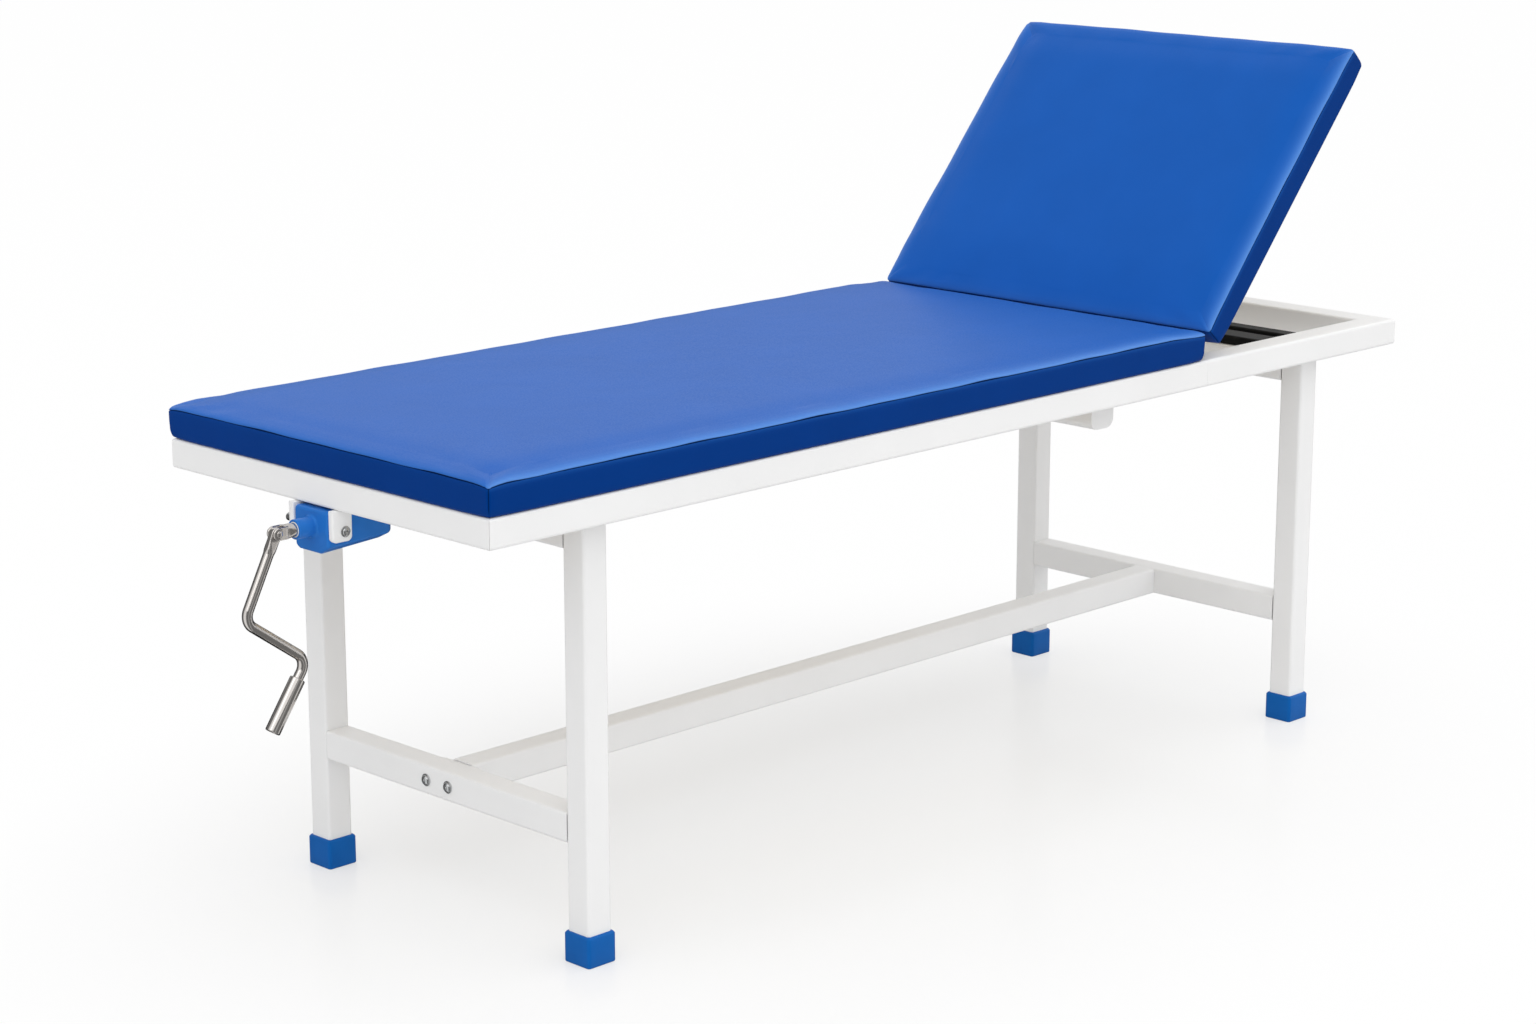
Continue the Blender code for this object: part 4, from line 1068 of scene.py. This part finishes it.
turn = np.radians(np.linspace(0, 90, 7))
away = np.stack((1 - np.sin(turn), 1 - np.cos(turn)))
(draw, start), (shrink, back) = HOUSE_EDGE * away, TAIL_EDGE * away[:, ::-1]
at = np.concatenate((start - FRONT, TAIL - back))
flat = np.stack([house_section(inset) for inset in np.concatenate((draw, shrink))])
rise = TAIL_RISE * np.clip((at - RISE_FROM) / (TAIL - RISE_FROM), 0, 1)
flat[..., 1] += rise[:, None] * np.clip(-flat[..., 1] / HOUSE_BELOW, 0, 1)
along = np.broadcast_to(DRIVE[0] + at[:, None], flat.shape[:2])
block = np.stack((along, DRIVE[1] + flat[..., 0], DRIVE[2] + flat[..., 1]), -1)
mouth = -FRONT - COLLAR_LENGTH
root = COLLAR_FILLET * away
profile = np.concatenate((
    [(mouth + RING_DEPTH + RING_PLAY, RING + RING_PLAY), (mouth, RING + RING_PLAY)],
    lip(mouth + COLLAR_LIP, COLLAR - COLLAR_LIP, COLLAR_LIP, 180, 90),
    np.stack((-FRONT - root[0], COLLAR + root[1]), -1),
    [(-FRONT + COLLAR_SUNK, COLLAR + COLLAR_FILLET)],
))
collar = turned(profile, DRIVE, AXLE, 64)
piece("housing_moulding", *joined(block, collar), "frame", "light_blue_plastic", ["crank_housing"])

bush = np.concatenate((
    [(mouth + RING_DEPTH, RING_BORE), (mouth + RING_DEPTH, RING)],
    lip(mouth, RING - RING_LIP, RING_LIP, 90, 180), [(mouth - RING_LIP, RING_BORE)],
))
ring = turned(bush, DRIVE, AXLE, 64)
piece("shaft_ring", ring, quads(*ring.shape[:2], True), "frame", "white_plastic", ["collar_ring"])
print("housing, collar and ring made")

# %% [markdown]
# ## Ears and screws
# The ears hang from the foot rail on both sides of the housing, with rounded lower corners, and
# reach a little further to the front than their solids. The screws are button heads with a hexagon
# socket, on a washer. A socket is a row of the turned profile whose circle has become a hexagon:
# its radius is cos 30 over the cosine of the angle from the nearest flat's middle.

# %% Ears, pivot screws and stretcher bolts
EAR_EDGE = 2.5 * MM
EAR_CORNER = 7 * MM
EAR_FRONT = 3 * MM
for side in ("near", "far"):
    low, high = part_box("crank_ear_" + side)
    front = low.x - EAR_FRONT
    path = ((high.x, high.z), (high.x, low.z), (front, low.z), (front, high.z))
    outline = fillet(path, EAR_CORNER, 10)[::-1]
    ear = plate(outline, low.y, high.y, EAR_EDGE)
    piece("ear_block_" + side, *joined(ear), "frame", "white_powder_coat", ["crank_ear_" + side])


SUNK = 0.2 * MM
WASHER_UP = 1.3 * MM
WASHER_EDGE = (0.3 * MM, 0.4 * MM)
HEAD_EDGE = 0.3 * MM
HEAD_TALL = 0.55
DOME_ENDS = 62
SOCKET = ((0, 0.42), (0.4, 0.40), (0.6, 0.05))
SCREW_SIDES = 72
PIVOT_HEAD, PIVOT_WASHER = 5.4 * MM, 7.2 * MM
BOLT_HEAD, BOLT_WASHER = 7.0 * MM, 8.5 * MM
PROUD = {"near": 0.0, "far": 22.5 * MM}


def socket_screw(name, node, base, axis, head, washer, proud=0.0):
    """A button-head screw on a washer: base is the face it sits on, axis points out of it, and
    proud is how far its head stands off. A socket row is a share of the head deep and wide."""
    tall = HEAD_TALL * head
    rim = WASHER_UP + HEAD_EDGE + proud
    rows = [(-SUNK, washer, 0), (WASHER_UP - WASHER_EDGE[0], washer, 0),
            (WASHER_UP, washer - WASHER_EDGE[1], 0), (WASHER_UP, head, 0)]
    dome = np.radians(np.linspace(0, DOME_ENDS, 9))
    rows += [(rim + tall * np.sin(a), head * np.cos(a), 0) for a in dome]
    top = rim + tall * math.sin(dome[-1])
    rows += [(top - deep * tall, wide * head, 1) for deep, wide in SOCKET]
    distance, radius, hexagon = np.array(rows).T
    circle = turned(np.stack((distance, radius), -1), base, axis, SCREW_SIDES)
    angle = np.linspace(0, 2 * math.pi, SCREW_SIDES, endpoint=False)
    flats = math.cos(math.pi / 6) / np.cos(angle % (math.pi / 3) - math.pi / 6)
    middle = np.array(base) + distance[:, None, None] * np.array(axis, float)
    shape = 1 + hexagon[:, None] * (flats - 1)
    points = middle + (circle - middle) * shape[..., None]
    piece(name, *joined(points), "frame", "zinc_plate", [node])


for side, way in (("near", -1.0), ("far", 1.0)):
    low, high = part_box("crank_ear_" + side)
    face = low.y if way < 0 else high.y
    low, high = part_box("pivot_screw_" + side)
    middle = (low + high) / 2
    socket_screw("ear_screw_" + side, "pivot_screw_" + side, (middle.x, face, middle.z),
                 (0, way, 0), PIVOT_HEAD, PIVOT_WASHER, PROUD[side])
    low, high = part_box("stretcher_bolt_" + side)
    middle = (low + high) / 2
    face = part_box("low_crossbar_foot")[0].x
    socket_screw("stretcher_screw_" + side, "stretcher_bolt_" + side, (face, middle.y, middle.z),
                 (-1, 0, 0), BOLT_HEAD, BOLT_WASHER)
print("ears and screws made")

# %% [markdown]
# ## Feet
# Each foot is a moulded cup pushed over the end of a leg: a rounded square with a soft lower edge
# and a chamfered rim.

# %% Feet
CUP_CORNER = 5 * MM
SOLE_EDGE = 2.2 * MM
SOLE_MIDDLE = 4 * MM
LEAST_CUP_CORNER = 2 * MM
RIM_ROWS = np.array(((0, 3.4), (0.5, 2.4), (2.6, 0.3), (3.5, 0), (6, 0.2))) * MM
for end in ("foot", "head"):
    for side in ("near", "far"):
        low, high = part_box(f"foot_cap_{end}_{side}")
        half = (high.x - low.x) / 2
        tall = high.z - low.z
        sole = lip(SOLE_EDGE, SOLE_EDGE, SOLE_EDGE, 180, 270, 6)[::-1]
        inset = np.concatenate(([half - SOLE_MIDDLE], sole[:, 0], RIM_ROWS[:, 0]))
        up = np.concatenate(([0], sole[:, 1], tall - RIM_ROWS[:, 1]))
        columns = side_columns(2 * half)
        radius = np.maximum(CUP_CORNER - inset, LEAST_CUP_CORNER)
        flat = outlines(half - inset, half - inset, radius, (columns, columns))
        cup = np.concatenate((flat, np.broadcast_to(up[:, None, None], (*flat.shape[:2], 1))), -1)
        cup += ((low.x + high.x) / 2, (low.y + high.y) / 2, low.z)
        piece(f"foot_cup_{end}_{side}", *joined(cup), "frame", "blue_plastic",
              [f"foot_cap_{end}_{side}"])
print("feet made")

# %% [markdown]
# ## Lead screw
# The screw under the seat has a left-hand thread. On a helix the place along the bar plus the turn
# about it is constant, so the remainder of that sum gives the tooth: a trapezoid in each pitch,
# whose crest, root and two flanks are a quarter of the pitch each.

# %% Lead screw
LEAD = 6.58 * MM
TOOTH = 1.3 * MM
ROWS_A_TURN = 12
low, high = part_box("lead_screw")
along = np.linspace(low.x, high.x, round((high.x - low.x) / LEAD * ROWS_A_TURN))
angle = np.linspace(0, 2 * math.pi, 40, endpoint=False)
phase = (along[:, None] / LEAD + angle / (2 * math.pi)) % 1
tooth = np.clip(4 * np.abs(phase - 0.5) - 0.5, 0, 1)
radius = SHAFT - TOOTH * tooth
thread = np.stack((
    np.broadcast_to(along[:, None], radius.shape),
    DRIVE[1] + radius * np.cos(angle), DRIVE[2] + radius * np.sin(angle),
), -1)
piece("threaded_screw", *joined(thread), "crank_shaft", "zinc_plate", ["lead_screw"])
print("thread turns:", round((high.x - low.x) / LEAD, 1))
